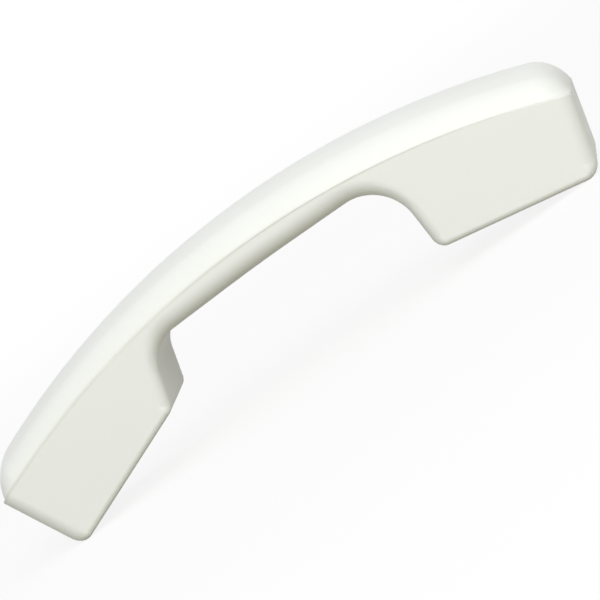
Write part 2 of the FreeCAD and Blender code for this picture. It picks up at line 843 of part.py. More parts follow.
def receiver_terminal_board():
    """Board strip glued across the yoke's back."""
    half_x = board_width / 2
    half_y = board_length / 2
    board = box_between((-half_x, -half_y, yoke_back), (half_x, half_y, board_back))
    upright = [edge for edge in board.Edges if abs(edge.tangentAt(edge.FirstParameter).z) > 0.9]
    return placed(board.makeFillet(board_corner, upright), ear_frame)


def receiver_terminals():
    """Two solder lugs on the board."""
    lugs = []
    for side in (-1, 1):
        low_y = side * lug_place - lug_breadth / 2
        high_y = side * lug_place + lug_breadth / 2
        half = lug_thickness / 2
        reach = half + lug_foot_reach
        foot = box_between((-reach, low_y, board_back), (reach, high_y, board_back + lug_foot_thickness))
        stem = box_between((-half, low_y, board_back), (half, high_y, board_back + lug_rise))
        lugs.append(foot.fuse(stem).removeSplitter())
    return placed(Part.Compound(lugs), ear_frame)


def click_suppressor():
    """Disc-shaped varistor on the board between the lugs."""
    return placed(disc(suppressor_radius, board_back, board_back + suppressor_thickness), ear_frame)


def mouth_dust_cloth():
    """Thin cloth behind the mouth holes."""
    return placed(disc(boot_outer - mouth_cloth_margin, mouth_seat_height, boot_front), mouth_frame)


def microphone_boot():
    """Rubber cup that holds the microphone, open in front of its port."""
    cup = disc(boot_outer, boot_front, boot_front + boot_height)
    room = disc(boot_inner, capsule_front, boot_front + boot_height + 1)
    port = disc(boot_port, boot_front - 1, capsule_front + 1)
    return placed(cup.cut([room, port]), mouth_frame)


def microphone_capsule():
    """Aluminium can of the microphone, with its sound port in front."""
    can = disc(microphone_radius, capsule_front, capsule_back)
    room = disc(microphone_radius - microphone_wall, capsule_front + microphone_wall, capsule_back + 1)
    port = disc(microphone_port, capsule_front - 1, capsule_front + 1)
    return placed(can.cut([room, port]), mouth_frame)


def microphone_back_board():
    """Round board that closes the can."""
    radius = microphone_radius - microphone_wall - press_gap
    filling = disc(radius, capsule_front + microphone_wall, capsule_back - microphone_board / 2)
    return placed(filling, mouth_frame)


def jack_body():
    """Socket moulding: plug room, latch slot, contact channel and flange."""
    side = jack_width / 2
    back = jack_front + jack_length
    body = box_between((jack_front, -side, jack_bottom), (back, side, jack_top))
    flange_start = jack_front + jack_flange_place
    flange = box_between(
        (flange_start, -side - jack_flange, jack_bottom),
        (flange_start + jack_flange_thickness, side + jack_flange, jack_top),
    )
    socket_end = jack_front + socket_depth
    half_socket = socket_width / 2
    socket = box_between(
        (jack_front - 1, -half_socket, socket_bottom),
        (socket_end, half_socket, socket_top),
    )
    latch = box_between(
        (jack_front - 1, -latch_width / 2, socket_bottom - latch_depth),
        (socket_end, latch_width / 2, socket_bottom + 0.5),
    )
    channel_start = jack_front + contact_pivot - channel_lead
    slot_half = contact_thickness / 2 + slot_gap
    channel = box_between(
        (channel_start, -channel_width / 2, socket_top - 0.5),
        (channel_start + channel_length, channel_width / 2, lead_height + slot_half),
    )
    slots = box_between(
        (channel_start + channel_length - 1, -channel_width / 2, lead_height - slot_half),
        (back + 1, channel_width / 2, lead_height + slot_half),
    )
    return body.fuse(flange).cut([socket, latch, channel, slots]).removeSplitter()


def contact_places():
    """Places of the contacts across the jack."""
    return [contact_pitch * (index - (contact_count - 1) / 2) for index in range(contact_count)]


def jack_insert():
    """Block behind the jack that carries the contacts' tails."""
    start = jack_front + jack_length
    block = box_between(
        (start, -insert_width / 2, jack_top - insert_height),
        (start + insert_length, insert_width / 2, jack_top),
    )
    holes = []
    half_y = contact_width / 2 + pilot_gap
    half_z = contact_thickness / 2 + pilot_gap
    for y in contact_places():
        holes.append(box_between(
            (start - 1, y - half_y, lead_height - half_z),
            (start + insert_length + 1, y + half_y, lead_height + half_z),
        ))
    return block.cut(holes)


def strip(outline, y):
    """A contact cut from strip: its side view, as joined edges, made contact_width wide at y."""
    face = Part.Face(Part.Wire(outline))
    face.translate(Vector(0, y - contact_width / 2, 0))
    return face.extrude(Vector(0, contact_width, 0))


def jack_contact_leads():
    """Fixed part of the four contacts: tail, straight run and front bend."""
    half = contact_thickness / 2
    pivot_x = jack_front + contact_pivot
    end = jack_front + jack_length + insert_length + tail_length
    middle = lead_height - contact_drop / 2
    reach = contact_drop / 2

    def run(level):
        """The run's edge at a distance above its middle line, from the tail forward."""
        return Part.LineSegment(Vector(end, 0, lead_height + level), Vector(pivot_x, 0, lead_height + level))

    def bend(radius):
        """Half a turn round the bend, from the run down to the spring."""
        return Part.Arc(
            Vector(pivot_x, 0, middle + radius),
            Vector(pivot_x - radius, 0, middle),
            Vector(pivot_x, 0, middle - radius),
        )

    outline = [
        run(half).toShape(),
        bend(reach + half).toShape(),
        Part.LineSegment(Vector(pivot_x, 0, middle - reach - half),
                         Vector(pivot_x, 0, middle - reach + half)).toShape(),
        bend(reach - half).toShape(),
        run(-half).toShape(),
        Part.LineSegment(Vector(end, 0, lead_height - half), Vector(end, 0, lead_height + half)).toShape(),
    ]
    ordered = Part.__sortEdges__(outline)
    return Part.Compound([strip(ordered, y) for y in contact_places()])


def jack_contacts():
    """Springy ends of the four contacts, which a plug lifts."""
    pivot = Vector(jack_front + contact_pivot, 0, pivot_height)
    turn = FreeCAD.Rotation(Vector(0, 1, 0), contact_slope)
    springs = []
    for y in contact_places():
        low = (contact_gap, y - contact_width / 2, -contact_thickness / 2)
        high = (contact_gap + contact_length, y + contact_width / 2, contact_thickness / 2)
        springs.append(placed(box_between(low, high), FreeCAD.Placement(pivot, turn)))
    return Part.Compound(springs)


def sweep_round(path, radius):
    """A round solid along a path of straight runs and tangent arcs."""
    start = path.OrderedVertexes[0].Point
    forward = path.OrderedVertexes[1].Point - start
    ring = Part.Wire([Part.Circle(start, forward, radius).toShape()])
    return path.makePipeShell([ring], True, False)


def lead(points, radius):
    """A lead through points, with the largest even arc at each of them."""
    corners = [Vector(*point) for point in points]
    pieces = []
    reached = corners[0]
    for before, here, after in zip(corners, corners[1:], corners[2:]):
        back = before - here
        ahead = after - here
        setback = 0.45 * min(back.Length, ahead.Length)
        start = here + back.normalize() * setback
        end = here + ahead.normalize() * setback
        half = back.getAngle(ahead) / 2
        bend = setback * math.tan(half)
        middle = here + (back + ahead).normalize() * (bend / math.sin(half) - bend)
        pieces.append(Part.LineSegment(reached, start).toShape())
        pieces.append(Part.Arc(start, middle, end).toShape())
        reached = end
    pieces.append(Part.LineSegment(reached, corners[-1]).toShape())
    return sweep_round(Part.Wire(pieces), radius)


def tail_end(position):
    """Where a contact's tail ends, which is where its lead starts."""
    end = jack_front + jack_length + insert_length + tail_length + lead_gap
    return (end, contact_places()[position], lead_height)


def receiver_lead(side):
    """Lead from an inner contact along the grip's floor to the receiver's lug on that side."""
    start = tail_end(1 if side < 0 else 2)
    floor = ballast_floor + lead_diameter
    lug_near = Vector(-lug_thickness / 2 - lug_gap, side * lug_place, board_back + lug_rise / 2)
    lug = ear_frame.multVec(lug_near)
    beside = ballast_width / 2 + 3.1
    points = [
        start,
        (mouth_middle - 2.0, side * 0.9, floor - 15.0),
        (-mouth_shoulder - 8.6, side * 6.5, floor - 6.5),
        (7.4 - mouth_shoulder, side * (beside - 3.1), floor - 0.2),
        (0.0, side * beside, floor),
        (ear_shoulder - 6.6, side * (beside - 2.7), floor - 0.4),
        (ear_shoulder + 8.4, side * 10.0, floor - 8.0),
        (ear_middle - 7.5, side * 8.4, floor - 15.4),
        (lug.x, lug.y, lug.z),
    ]
    return lead(points, lead_diameter / 2)


def microphone_lead(side):
    """Lead from an outer contact over the boot's rim to the microphone's board."""
    start = tail_end(0 if side < 0 else 3)
    over = capsule_back + lead_diameter / 2 + 0.35
    rim = mouth_frame.multVec(Vector(-6.4, side * 2.1, over + 0.4))
    pad = mouth_frame.multVec(Vector(0.8, side * 2.2, over))
    return lead([start, (rim.x, rim.y, rim.z), (pad.x, pad.y, pad.z)], lead_diameter / 2)


def ballast_pad():
    """Adhesive pad under the ballast."""
    half_x = ballast_length / 2 - pad_margin
    half_y = ballast_width / 2 - pad_margin
    return box_between((-half_x, -half_y, ballast_floor), (half_x, half_y, ballast_floor + pad_thickness))


def ballast_weight():
    """Steel bar that gives the handset its heft."""
    low = (-ballast_length / 2, -ballast_width / 2, ballast_floor + pad_thickness)
    high = (ballast_length / 2, ballast_width / 2, ballast_floor + pad_thickness + ballast_thickness)
    bar = box_between(low, high)
    upright = [edge for edge in bar.Edges if abs(edge.tangentAt(edge.FirstParameter).z) > 0.9]
    return bar.makeFillet(ballast_corner, upright)


pieces = {
    "rear_cover": rear_cover,
    "front_housing": front_housing,
    "housing_screws": housing_screws,
    "ear_dust_cloth": ear_dust_cloth,
    "receiver_gasket": receiver_gasket,
    "receiver_front_cap": receiver_front_cap,
    "receiver_diaphragm": receiver_diaphragm,
    "receiver_voice_coil": receiver_voice_coil,
    "receiver_pole_plate": receiver_pole_plate,
    "receiver_magnet": receiver_magnet,
    "receiver_yoke": receiver_yoke,
    "receiver_frame": receiver_frame,
    "receiver_terminal_board": receiver_terminal_board,
    "receiver_terminals": receiver_terminals,
    "click_suppressor": click_suppressor,
    "receiver_clamp": receiver_clamp,
    "receiver_clamp_screws": receiver_clamp_screws,
    "mouth_dust_cloth": mouth_dust_cloth,
    "microphone_boot": microphone_boot,
    "microphone_capsule": microphone_capsule,
    "microphone_back_board": microphone_back_board,
    "jack_body": jack_body,
    "jack_insert": jack_insert,
    "jack_contact_leads": jack_contact_leads,
    "jack_contacts": jack_contacts,
    "ballast_pad": ballast_pad,
    "ballast_weight": ballast_weight,
    "receiver_lead_red": lambda: receiver_lead(-1),
    "receiver_lead_green": lambda: receiver_lead(1),
    "microphone_lead_black": lambda: microphone_lead(-1),
    "microphone_lead_yellow": lambda: microphone_lead(1),
}

os.makedirs("parts", exist_ok=True)
for name, build in pieces.items():
    shape = build()
    shape.exportStep("parts/" + name + ".step")
    print(name, "solids", len(shape.Solids), "volume", round(shape.Volume, 2), "valid", shape.isValid())
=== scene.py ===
"""Telephone handset: the dressed pieces, a plain studio and the camera.

Places in the scene are in metres. The pieces that are modelled here have their sizes in millimetres, in
upright frames of their own, and are scaled when they are set in place. Each sub-assembly is a class. A
solid whose shape is right is taken over as a clean mesh, and the pieces that show more than their solid
are modelled new and stand for it.
"""
import logging
import math
from collections.abc import Callable, Iterable
from dataclasses import dataclass
from enum import Enum
from functools import cache
from typing import ClassVar

import bmesh
import bpy
from mathutils import Matrix, Vector


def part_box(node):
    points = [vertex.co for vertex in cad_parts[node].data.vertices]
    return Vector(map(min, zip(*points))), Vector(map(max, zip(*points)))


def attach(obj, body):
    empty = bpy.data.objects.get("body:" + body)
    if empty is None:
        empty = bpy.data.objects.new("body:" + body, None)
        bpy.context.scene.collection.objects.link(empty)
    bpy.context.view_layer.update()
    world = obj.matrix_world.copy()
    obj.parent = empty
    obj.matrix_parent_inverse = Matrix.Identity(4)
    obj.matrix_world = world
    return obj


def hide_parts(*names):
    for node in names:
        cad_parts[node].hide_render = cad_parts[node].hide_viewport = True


log = logging.getLogger("handset")
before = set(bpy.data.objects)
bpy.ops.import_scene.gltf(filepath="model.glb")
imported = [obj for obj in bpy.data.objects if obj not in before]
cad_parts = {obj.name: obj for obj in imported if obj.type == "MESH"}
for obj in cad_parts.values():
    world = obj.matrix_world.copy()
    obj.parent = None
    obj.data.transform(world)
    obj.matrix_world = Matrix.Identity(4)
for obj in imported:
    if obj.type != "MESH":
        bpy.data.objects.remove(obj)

MM = 0.001
UP = Vector((0.0, 0.0, 1.0))
WELD = 0.0005           # joins points of a shape in millimetres
MERGE = 0.002 * MM      # joins points of a solid's mesh
SHARP = math.radians(32.0)      # edges of modelled shapes are sharp from this angle
EAR_TILT = math.radians(10.9)
MOUTH_TILT = math.radians(21.1)
WHITE = (1.0, 1.0, 1.0, 1.0)

Outline = list[tuple[float, float]]


class Slot(Enum):
    """Material slots of the handset's record."""

    SHELL = "shell_plastic"
    SCREW = "screw_steel"
    CLOTH = "dust_cloth"
    RUBBER = "black_rubber"
    BLACK = "black_plastic"
    FILM = "clear_film"
    COPPER = "copper_winding"
    MAGNET = "magnet_steel"
    BOARD = "board_brown"
    TINNED = "tinned_brass"
    SUPPRESSOR = "suppressor_coat"
    GREY = "grey_plastic"
    CAN = "can_aluminium"
    JACK = "jack_plastic"
    GOLD = "contact_gold"
    FOAM = "adhesive_foam"
    BALLAST = "ballast_steel"
    RED = "lead_red"
    GREEN = "lead_green"
    BLACK_LEAD = "lead_black"
    YELLOW = "lead_yellow"


class Body(Enum):
    """Bodies that the pieces ride on."""

    HANDSET = "handset"
    CONE = "receiver_cone"
    SPRINGS = "contact_springs"


class Pattern(Enum):
    """What breaks up a finish: each is a node group that puts out a mask and a height."""

    MOULDED = "moulded grain"
    BRUSHED = "brushed lines"
    WOVEN = "woven threads"
    WOUND = "wound turns"
    PAPER = "paper fibres"


class NodeBoard:
    """A node tree with short calls to add and join its nodes."""

    def __init__(self, tree: bpy.types.NodeTree) -> None:
        """Take a tree.

        Args:
            tree: The node tree that the calls work on.
        """
        self.tree = tree

    @classmethod
    def cleared(cls, owner: bpy.types.Material | bpy.types.World) -> "NodeBoard":
        """Turn on an owner's nodes and clear them.

        Args:
            owner: The material or the world.

        Returns:
            The board of its empty tree.
        """
        owner.use_nodes = True
        owner.node_tree.nodes.clear()
        return cls(owner.node_tree)

    def add(self, kind: str, inputs: dict[str | int, object] | None = None,
            **settings: object) -> bpy.types.Node:
        """Add a node and fill its inputs.

        Args:
            kind: The node's type name.
            inputs: Sockets or values for its inputs, by name or place.
            settings: Values for its other properties.

        Returns:
            The new node.
        """
        node = self.tree.nodes.new(kind)
        for name, value in settings.items():
            setattr(node, name, value)
        for key, value in (inputs or {}).items():
            if isinstance(value, bpy.types.NodeSocket):
                self.tree.links.new(value, node.inputs[key])
            else:
                node.inputs[key].default_value = value
        return node

    def work(self, operation: str, first: object, second: object = 0.0) -> bpy.types.NodeSocket:
        """Work out one number from one or two.

        Args:
            operation: The Math node's operation.
            first: A socket or a number.
            second: A socket or a number.

        Returns:
            The socket that holds the result.
        """
        return self.add("ShaderNodeMath", {0: first, 1: second}, operation=operation).outputs["Value"]

    def blend(self, share: bpy.types.NodeSocket, first: object, second: object) -> bpy.types.NodeSocket:
        """Mix two colours.

        Args:
            share: How much of the second colour shows.
            first: A socket or a linear colour.
            second: A socket or a linear colour.

        Returns:
            The socket that holds the mixed colour.
        """
        inputs = {0: share}
        for place, value in ((6, first), (7, second)):
            inputs[place] = value if isinstance(value, bpy.types.NodeSocket) else (*value, 1.0)
        return self.add("ShaderNodeMix", inputs, data_type="RGBA").outputs[2]

    def noise(self, place: bpy.types.NodeSocket, scale: object, detail: float,
              rough: float = 0.5) -> bpy.types.NodeSocket:
        """Add a noise texture.

        Args:
            place: Its coordinates.
            scale: A socket or a number.
            detail: Its octaves.
            rough: How much its fine octaves count.

        Returns:
            The socket that holds the noise, about 0.5.
        """
        inputs = {"Vector": place, "Scale": scale, "Detail": detail, "Roughness": rough}
        return self.add("ShaderNodeTexNoise", inputs).outputs["Fac"]

    def axes(self, place: bpy.types.NodeSocket) -> bpy.types.bpy_prop_collection:
        """The X, Y and Z sockets of coordinates.

        Args:
            place: The coordinates.

        Returns:
            The sockets, by axis name.
        """
        return self.add("ShaderNodeSeparateXYZ", {"Vector": place}).outputs


def start_group(name: str, *numbers: str) -> tuple[NodeBoard, bpy.types.bpy_prop_collection]:
    """Start a node group that turns coordinates into a mask and a height.

    Args:
        name: The group's name.
        numbers: Names of its number inputs.

    Returns:
        The board, and the sockets of what the group is given.
    """
    tree = bpy.data.node_groups.new(name, "ShaderNodeTree")
    tree.interface.new_socket("Coordinates", in_out="INPUT", socket_type="NodeSocketVector")
    for number in numbers:
        tree.interface.new_socket(number, in_out="INPUT", socket_type="NodeSocketFloat")
    for result in ("Mask", "Height"):
        tree.interface.new_socket(result, in_out="OUTPUT", socket_type="NodeSocketFloat")
    board = NodeBoard(tree)
    return board, board.add("NodeGroupInput").outputs


@cache
def moulded_group() -> bpy.types.NodeTree:
    """Fine spark grain of a mould over a slow waviness, with a cloudy mask."""
    cloud_pace = 0.02
    waviness = 1.5
    board, given = start_group(Pattern.MOULDED.value, "Size")
    place, size = given["Coordinates"], given["Size"]
    grain = board.noise(place, size, 3.0, 0.6)
    cloud = board.noise(place, board.work("MULTIPLY", size, cloud_pace), 2.0)
    height = board.work("ADD", grain, board.work("MULTIPLY", cloud, waviness))
    board.add("NodeGroupOutput", {"Mask": cloud, "Height": height})
    return board.tree


@cache
def brushed_group() -> bpy.types.NodeTree:
    """Short scratches that run along X, with slow stains in the mask."""
    line_pace = 0.06
    stain_pace = 0.05
    contrast = 1.8
    board, given = start_group(Pattern.BRUSHED.value, "Size")
    place, size = given["Coordinates"], given["Size"]
    stretch = board.add("ShaderNodeMapping", {"Vector": place, "Scale": (line_pace, 1.0, 1.0)})
    lines = board.noise(stretch.outputs["Vector"], size, 4.0, 0.7)
    stains = board.noise(place, board.work("MULTIPLY", size, stain_pace), 2.0)
    mask = board.work("MULTIPLY", board.work("MULTIPLY", lines, stains), contrast)
    board.add("NodeGroupOutput", {"Mask": mask, "Height": lines})
    return board.tree


@cache
def woven_group() -> bpy.types.NodeTree:
    """Threads that cross at right angles, over and under."""
    board, given = start_group(Pattern.WOVEN.value, "Size")
    axes = board.axes(given["Coordinates"])
    waves = [board.work("SINE", board.work("MULTIPLY", axes[axis], given["Size"])) for axis in ("X", "Y")]
    cross = board.work("MULTIPLY", *waves)
    board.add("NodeGroupOutput", {"Mask": board.work("ABSOLUTE", cross), "Height": cross})
    return board.tree


@cache
def wound_group() -> bpy.types.NodeTree:
    """Turns of fine wire laid side by side along Z."""
    board, given = start_group(Pattern.WOUND.value, "Size")
    turns = board.work("MULTIPLY", board.axes(given["Coordinates"])["Z"], given["Size"])
    ridge = board.work("ABSOLUTE", board.work("SINE", turns))
    board.add("NodeGroupOutput", {"Mask": ridge, "Height": ridge})
    return board.tree


@cache
def paper_group() -> bpy.types.NodeTree:
    """Fibres of a paper laminate, or the open cells of a foam."""
    fibre_pace = 0.4
    board, given = start_group(Pattern.PAPER.value, "Size")
    place, size = given["Coordinates"], given["Size"]
    cells = board.add("ShaderNodeTexVoronoi", {"Vector": place, "Scale": size})
    fibres = board.noise(place, board.work("MULTIPLY", size, fibre_pace), 5.0, 0.75)
    height = board.work("ADD", cells.outputs["Distance"], fibres)
    board.add("NodeGroupOutput", {"Mask": fibres, "Height": height})
    return board.tree


@cache
def seam_group() -> bpy.types.NodeTree:
    """Mask of the seam's darkening, partly dirt and partly painted shade, strongest in the seam between the
    shells and fading out either side of it.

    It is patchy, and weaker towards the earpiece. The group's height isn't used.
    """
    patch_scale = 45.0
    least = 0.35
    reach = 100.0 * MM
    at_earpiece = 0.25
    board, given = start_group("seam grime", "Radius", "Centre Height", "Reach")
    axes = board.axes(given["Coordinates"])
    rise = board.work("SUBTRACT", axes["Z"], given["Centre Height"])
    across = board.work("MULTIPLY", axes["X"], axes["X"])
    squares = board.work("ADD", across, board.work("MULTIPLY", rise, rise))
    off = board.work("SUBTRACT", board.work("SQRT", squares), given["Radius"])
    share = board.work("DIVIDE", board.work("ABSOLUTE", off), given["Reach"])
    fade = board.work("SUBTRACT", 1.0, board.work("MINIMUM", share, 1.0))
    patches = board.work("ADD", board.noise(given["Coordinates"], patch_scale, 3.0), least)
    along = board.add("ShaderNodeMapRange", {
        "Value": axes["X"], "From Min": -reach, "From Max": reach, "To Min": 1.0, "To Max": at_earpiece,
    })
    strength = board.work("MULTIPLY", patches, along.outputs["Result"])
    # Painted shade, partly dirt: the mask darkens the groove between the shells, patchy and fainter towards
    # the earpiece.
    board.add("NodeGroupOutput", {"Mask": board.work("MULTIPLY", fade, strength)})
    return board.tree


GROUPS: dict[Pattern, Callable[[], bpy.types.NodeTree]] = {
    Pattern.MOULDED: moulded_group,
    Pattern.BRUSHED: brushed_group,
    Pattern.WOVEN: woven_group,
    Pattern.WOUND: wound_group,
    Pattern.PAPER: paper_group,
}


@dataclass(frozen=True)
class Finish:
    """One surface finish.

    Attributes:
        slot: The record's slot that it stands for.
        colour: Main colour, linear.
        tint: Colour that the pattern's mask brings in.
        amount: How far the mask goes towards the tint.
        roughness: Middle roughness.
        spread: How far the mask moves the roughness each way.
        pattern: What breaks up the surface.
        size: The pattern's cells in a metre, or its waves in radians per metre.
        relief: Height of the pattern, in metres.
        metallic: 1 for bare metal.
        coat: Weight of a clear coat.
        lean: Turn of the pattern about Y, in radians.
    """

    slot: Slot
    colour: tuple[float, float, float]
    tint: tuple[float, float, float]
    amount: float = 0.5
    roughness: float = 0.5
    spread: float = 0.1
    pattern: Pattern = Pattern.MOULDED
    size: float = 4000.0
    relief: float = 0.004 * MM
    metallic: float = 0.0
    coat: float = 0.0
    lean: float = 0.0

    def colour_over(self, board: NodeBoard, place: bpy.types.NodeSocket,
                    mask: bpy.types.NodeSocket) -> bpy.types.NodeSocket:
        """Colour the surface by the pattern's mask.

        Args:
            board: The material's nodes.
            place: The surface's object coordinates; not used here, only the shell's finish reads them.
            mask: The pattern's mask.

        Returns:
            The socket that holds the colour.
        """
        return board.blend(board.work("MULTIPLY", mask, self.amount), self.colour, self.tint)

    def make(self) -> bpy.types.Material:
        """Build the material.

        Returns:
            The finished material, named after its slot.
        """
        coat_roughness = 0.15
        material = bpy.data.materials.new(self.slot.value + "_finish")
        board = NodeBoard.cleared(material)
        place = board.add("ShaderNodeTexCoord").outputs["Object"]
        turn = board.add("ShaderNodeMapping", {"Vector": place, "Rotation": (0.0, self.lean, 0.0)})
        pattern = board.add("ShaderNodeGroup", {
            "Coordinates": turn.outputs["Vector"], "Size": self.size,
        }, node_tree=GROUPS[self.pattern]())
        mask = pattern.outputs["Mask"]
        swing = board.work("MULTIPLY", board.work("SUBTRACT", mask, 0.5), 2.0 * self.spread)
        bump = board.add("ShaderNodeBump", {
            "Strength": 1.0, "Distance": self.relief, "Height": pattern.outputs["Height"],
        })
        shader = board.add("ShaderNodeBsdfPrincipled", {
            "Base Color": self.colour_over(board, place, mask),
            "Metallic": self.metallic,
            "Roughness": board.work("ADD", swing, self.roughness),
            "Normal": bump.outputs["Normal"],
            "Coat Weight": self.coat,
            "Coat Roughness": coat_roughness,
        })
        board.add("ShaderNodeOutputMaterial", {"Surface": shader.outputs["BSDF"]})
        return material


@dataclass(frozen=True)
class ShellFinish(Finish):
    """Moulded shell plastic with a little darkening in its seam, partly dirt and partly painted shade.

    Attributes:
        seam_radius: Radius of the seam's arc, seen from the side.
        seam_centre: Height of the arc's centre.
        seam_reach: How far the darkening spreads from the seam.
        grime: Colour of the seam's darkening, partly dirt and partly painted shade.
    """

    seam_radius: float = 278.0 * MM
    seam_centre: float = -232.8 * MM
    seam_reach: float = 0.8 * MM
    grime: tuple[float, float, float] = (0.66, 0.67, 0.60)

    def colour_over(self, board: NodeBoard, place: bpy.types.NodeSocket,
                    mask: bpy.types.NodeSocket) -> bpy.types.NodeSocket:
        """Colour the plastic, and lay the seam's darkening over it, partly dirt and partly painted shade.

        Args:
            board: The material's nodes.
            place: The surface's object coordinates.
            mask: The pattern's mask.

        Returns:
            The socket that holds the colour.
        """
        plain = super().colour_over(board, place, mask)
        seam = board.add("ShaderNodeGroup", {
            "Coordinates": place, "Radius": self.seam_radius, "Centre Height": self.seam_centre,
            "Reach": self.seam_reach,
        }, node_tree=seam_group())
        # Seam darkening: partly dirt, partly painted shade in the groove between the shells.
        return board.blend(seam.outputs["Mask"], plain, self.grime)


def lead_finish(slot: Slot, colour: tuple[float, float, float], tint: tuple[float, float, float]) -> Finish:
    """Smooth insulation of a lead.

    Args:
        slot: The record's slot that it stands for.
        colour: Main colour, linear.
        tint: Colour of its cloudy patches.

    Returns:
        The finish.
    """
    return Finish(slot, colour, tint, 0.6, 0.33, 0.06, size=1500.0, relief=0.004 * MM, coat=0.2)


FINISHES: tuple[Finish, ...] = (
    ShellFinish(Slot.SHELL, (0.87, 0.885, 0.855), (0.855, 0.87, 0.825), 0.6, 0.42, 0.06,
                size=2600.0, relief=0.008 * MM),
    Finish(Slot.SCREW, (0.62, 0.61, 0.58), (0.40, 0.36, 0.28), 0.5, 0.34, 0.12,
           Pattern.BRUSHED, 9000.0, 0.003 * MM, metallic=1.0),
    Finish(Slot.CLOTH, (0.012, 0.012, 0.013), (0.06, 0.06, 0.06), 0.8, 0.8, 0.08,
           Pattern.WOVEN, 14000.0, 0.06 * MM, lean=-EAR_TILT),
    Finish(Slot.RUBBER, (0.028, 0.028, 0.030), (0.06, 0.058, 0.055), 0.6, 0.68, 0.1,
           size=3000.0, relief=0.008 * MM),
    Finish(Slot.BLACK, (0.022, 0.022, 0.024), (0.04, 0.04, 0.042), 0.6, 0.45, 0.08,
           size=3500.0, relief=0.006 * MM),
    Finish(Slot.FILM, (0.70, 0.66, 0.52), (0.80, 0.77, 0.66), 0.7, 0.22, 0.06,
           size=900.0, relief=0.01 * MM, coat=0.3),
    Finish(Slot.COPPER, (0.60, 0.26, 0.11), (0.90, 0.52, 0.26), 0.8, 0.30, 0.08,
           Pattern.WOUND, 28000.0, 0.05 * MM, metallic=1.0, lean=-EAR_TILT),
    Finish(Slot.MAGNET, (0.50, 0.50, 0.51), (0.32, 0.32, 0.33), 0.6, 0.30, 0.1,
           Pattern.BRUSHED, 5000.0, 0.003 * MM, metallic=1.0),
    Finish(Slot.BOARD, (0.30, 0.16, 0.06), (0.42, 0.25, 0.11), 0.8, 0.5, 0.1,
           Pattern.PAPER, 2500.0, 0.01 * MM),
    Finish(Slot.TINNED, (0.74, 0.73, 0.69), (0.52, 0.51, 0.48), 0.6, 0.32, 0.12,
           size=5000.0, relief=0.012 * MM, metallic=1.0),
    Finish(Slot.SUPPRESSOR, (0.02, 0.07, 0.28), (0.04, 0.12, 0.36), 0.7, 0.30, 0.08,
           size=1800.0, relief=0.02 * MM, coat=0.5),
    Finish(Slot.GREY, (0.34, 0.35, 0.33), (0.28, 0.29, 0.27), 0.6, 0.46, 0.07,
           size=3000.0, relief=0.006 * MM),
    Finish(Slot.CAN, (0.80, 0.80, 0.81), (0.62, 0.62, 0.63), 0.6, 0.28, 0.1,
           Pattern.BRUSHED, 8000.0, 0.003 * MM, metallic=1.0),
    Finish(Slot.JACK, (0.52, 0.53, 0.48), (0.46, 0.465, 0.41), 0.6, 0.30, 0.07,
           size=2600.0, relief=0.004 * MM),
    Finish(Slot.GOLD, (0.83, 0.58, 0.20), (0.66, 0.42, 0.13), 0.5, 0.22, 0.08,
           Pattern.BRUSHED, 12000.0, 0.002 * MM, metallic=1.0),
    Finish(Slot.FOAM, (0.80, 0.78, 0.66), (0.66, 0.63, 0.50), 0.7, 0.85, 0.05,
           Pattern.PAPER, 1800.0, 0.08 * MM),
    Finish(Slot.BALLAST, (0.40, 0.40, 0.41), (0.22, 0.19, 0.16), 0.5, 0.40, 0.14,
           Pattern.BRUSHED, 3500.0, 0.006 * MM, metallic=1.0),
    lead_finish(Slot.RED, (0.48, 0.012, 0.010), (0.38, 0.010, 0.008)),
    lead_finish(Slot.GREEN, (0.012, 0.20, 0.04), (0.010, 0.15, 0.03)),
    lead_finish(Slot.BLACK_LEAD, (0.014, 0.014, 0.014), (0.03, 0.03, 0.03)),
    lead_finish(Slot.YELLOW, (0.72, 0.50, 0.02), (0.62, 0.41, 0.015)),
)


@cache
def material_of(slot: Slot) -> bpy.types.Material:
    """The material for a slot, made the first time that it is asked for."""
    return next(finish for finish in FINISHES if finish.slot is slot).make()


def paint(piece: bpy.types.Object, slot: Slot) -> None:
    """Give a piece one material all over.

    Args:
        piece: The piece.
        slot: The slot whose finish it takes.
    """
    piece.data.materials.clear()
    piece.data.materials.append(material_of(slot))


def middle(node: str) -> Vector:
    """Middle of a node's box."""
    low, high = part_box(node)
    return (low + high) / 2


def inward_frame(node: str, depth: float, tilt: float) -> Matrix:
    """Frame whose Z runs inwards from one of the handset's two faces.

    Args:
        node: A node that is round about the frame's axis and the same at both ends.
        depth: How far inside the face the node's middle lies, in millimetres.
        tilt: Turn of the axis about Y, in radians.

    Returns:
        The frame, its origin on the face.
    """
    turn = Matrix.Rotation(tilt, 4, "Y")
    return Matrix.Translation(middle(node) - (turn @ UP) * (depth * MM)) @ turn


def moved(place: Matrix, along: float, across: float, up: float) -> Matrix:
    """A frame moved within itself.

    Args:
        place: The frame.
        along: How far it moves along its X, in millimetres.
        across: How far along its Y.
        up: How far along its Z.

    Returns:
        The moved frame.
    """
    return place @ Matrix.Translation(Vector((along, across, up)) * MM)


def new_object(name: str, data: bpy.types.ID) -> bpy.types.Object:
    """Show data as a new object at the origin.

    Args:
        name: The object's name.
        data: Its mesh, lamp or camera.

    Returns:
        The new object.
    """
    shown = bpy.data.objects.new(name, data)
    bpy.context.scene.collection.objects.link(shown)
    return shown


def new_piece(name: str, form: bmesh.types.BMesh) -> bpy.types.Object:
    """Turn a bmesh into a shown object at the origin.

    Args:
        name: The piece's name.
        form: The shape, which is used up.

    Returns:
        The new object.
    """
    mesh = bpy.data.meshes.new(name)
    form.to_mesh(mesh)
    form.free()
    return new_object(name, mesh)


def crease(form: bmesh.types.BMesh, limit: float) -> None:
    """Make every face smooth and every edge over a limit sharp.

    Args:
        form: The shape.
        limit: Angle between two faces, in radians, from which their edge is sharp.
    """
    for face in form.faces:
        face.smooth = True
    for edge in form.edges:
        edge.smooth = edge.is_manifold and edge.calc_face_angle(math.pi) < limit


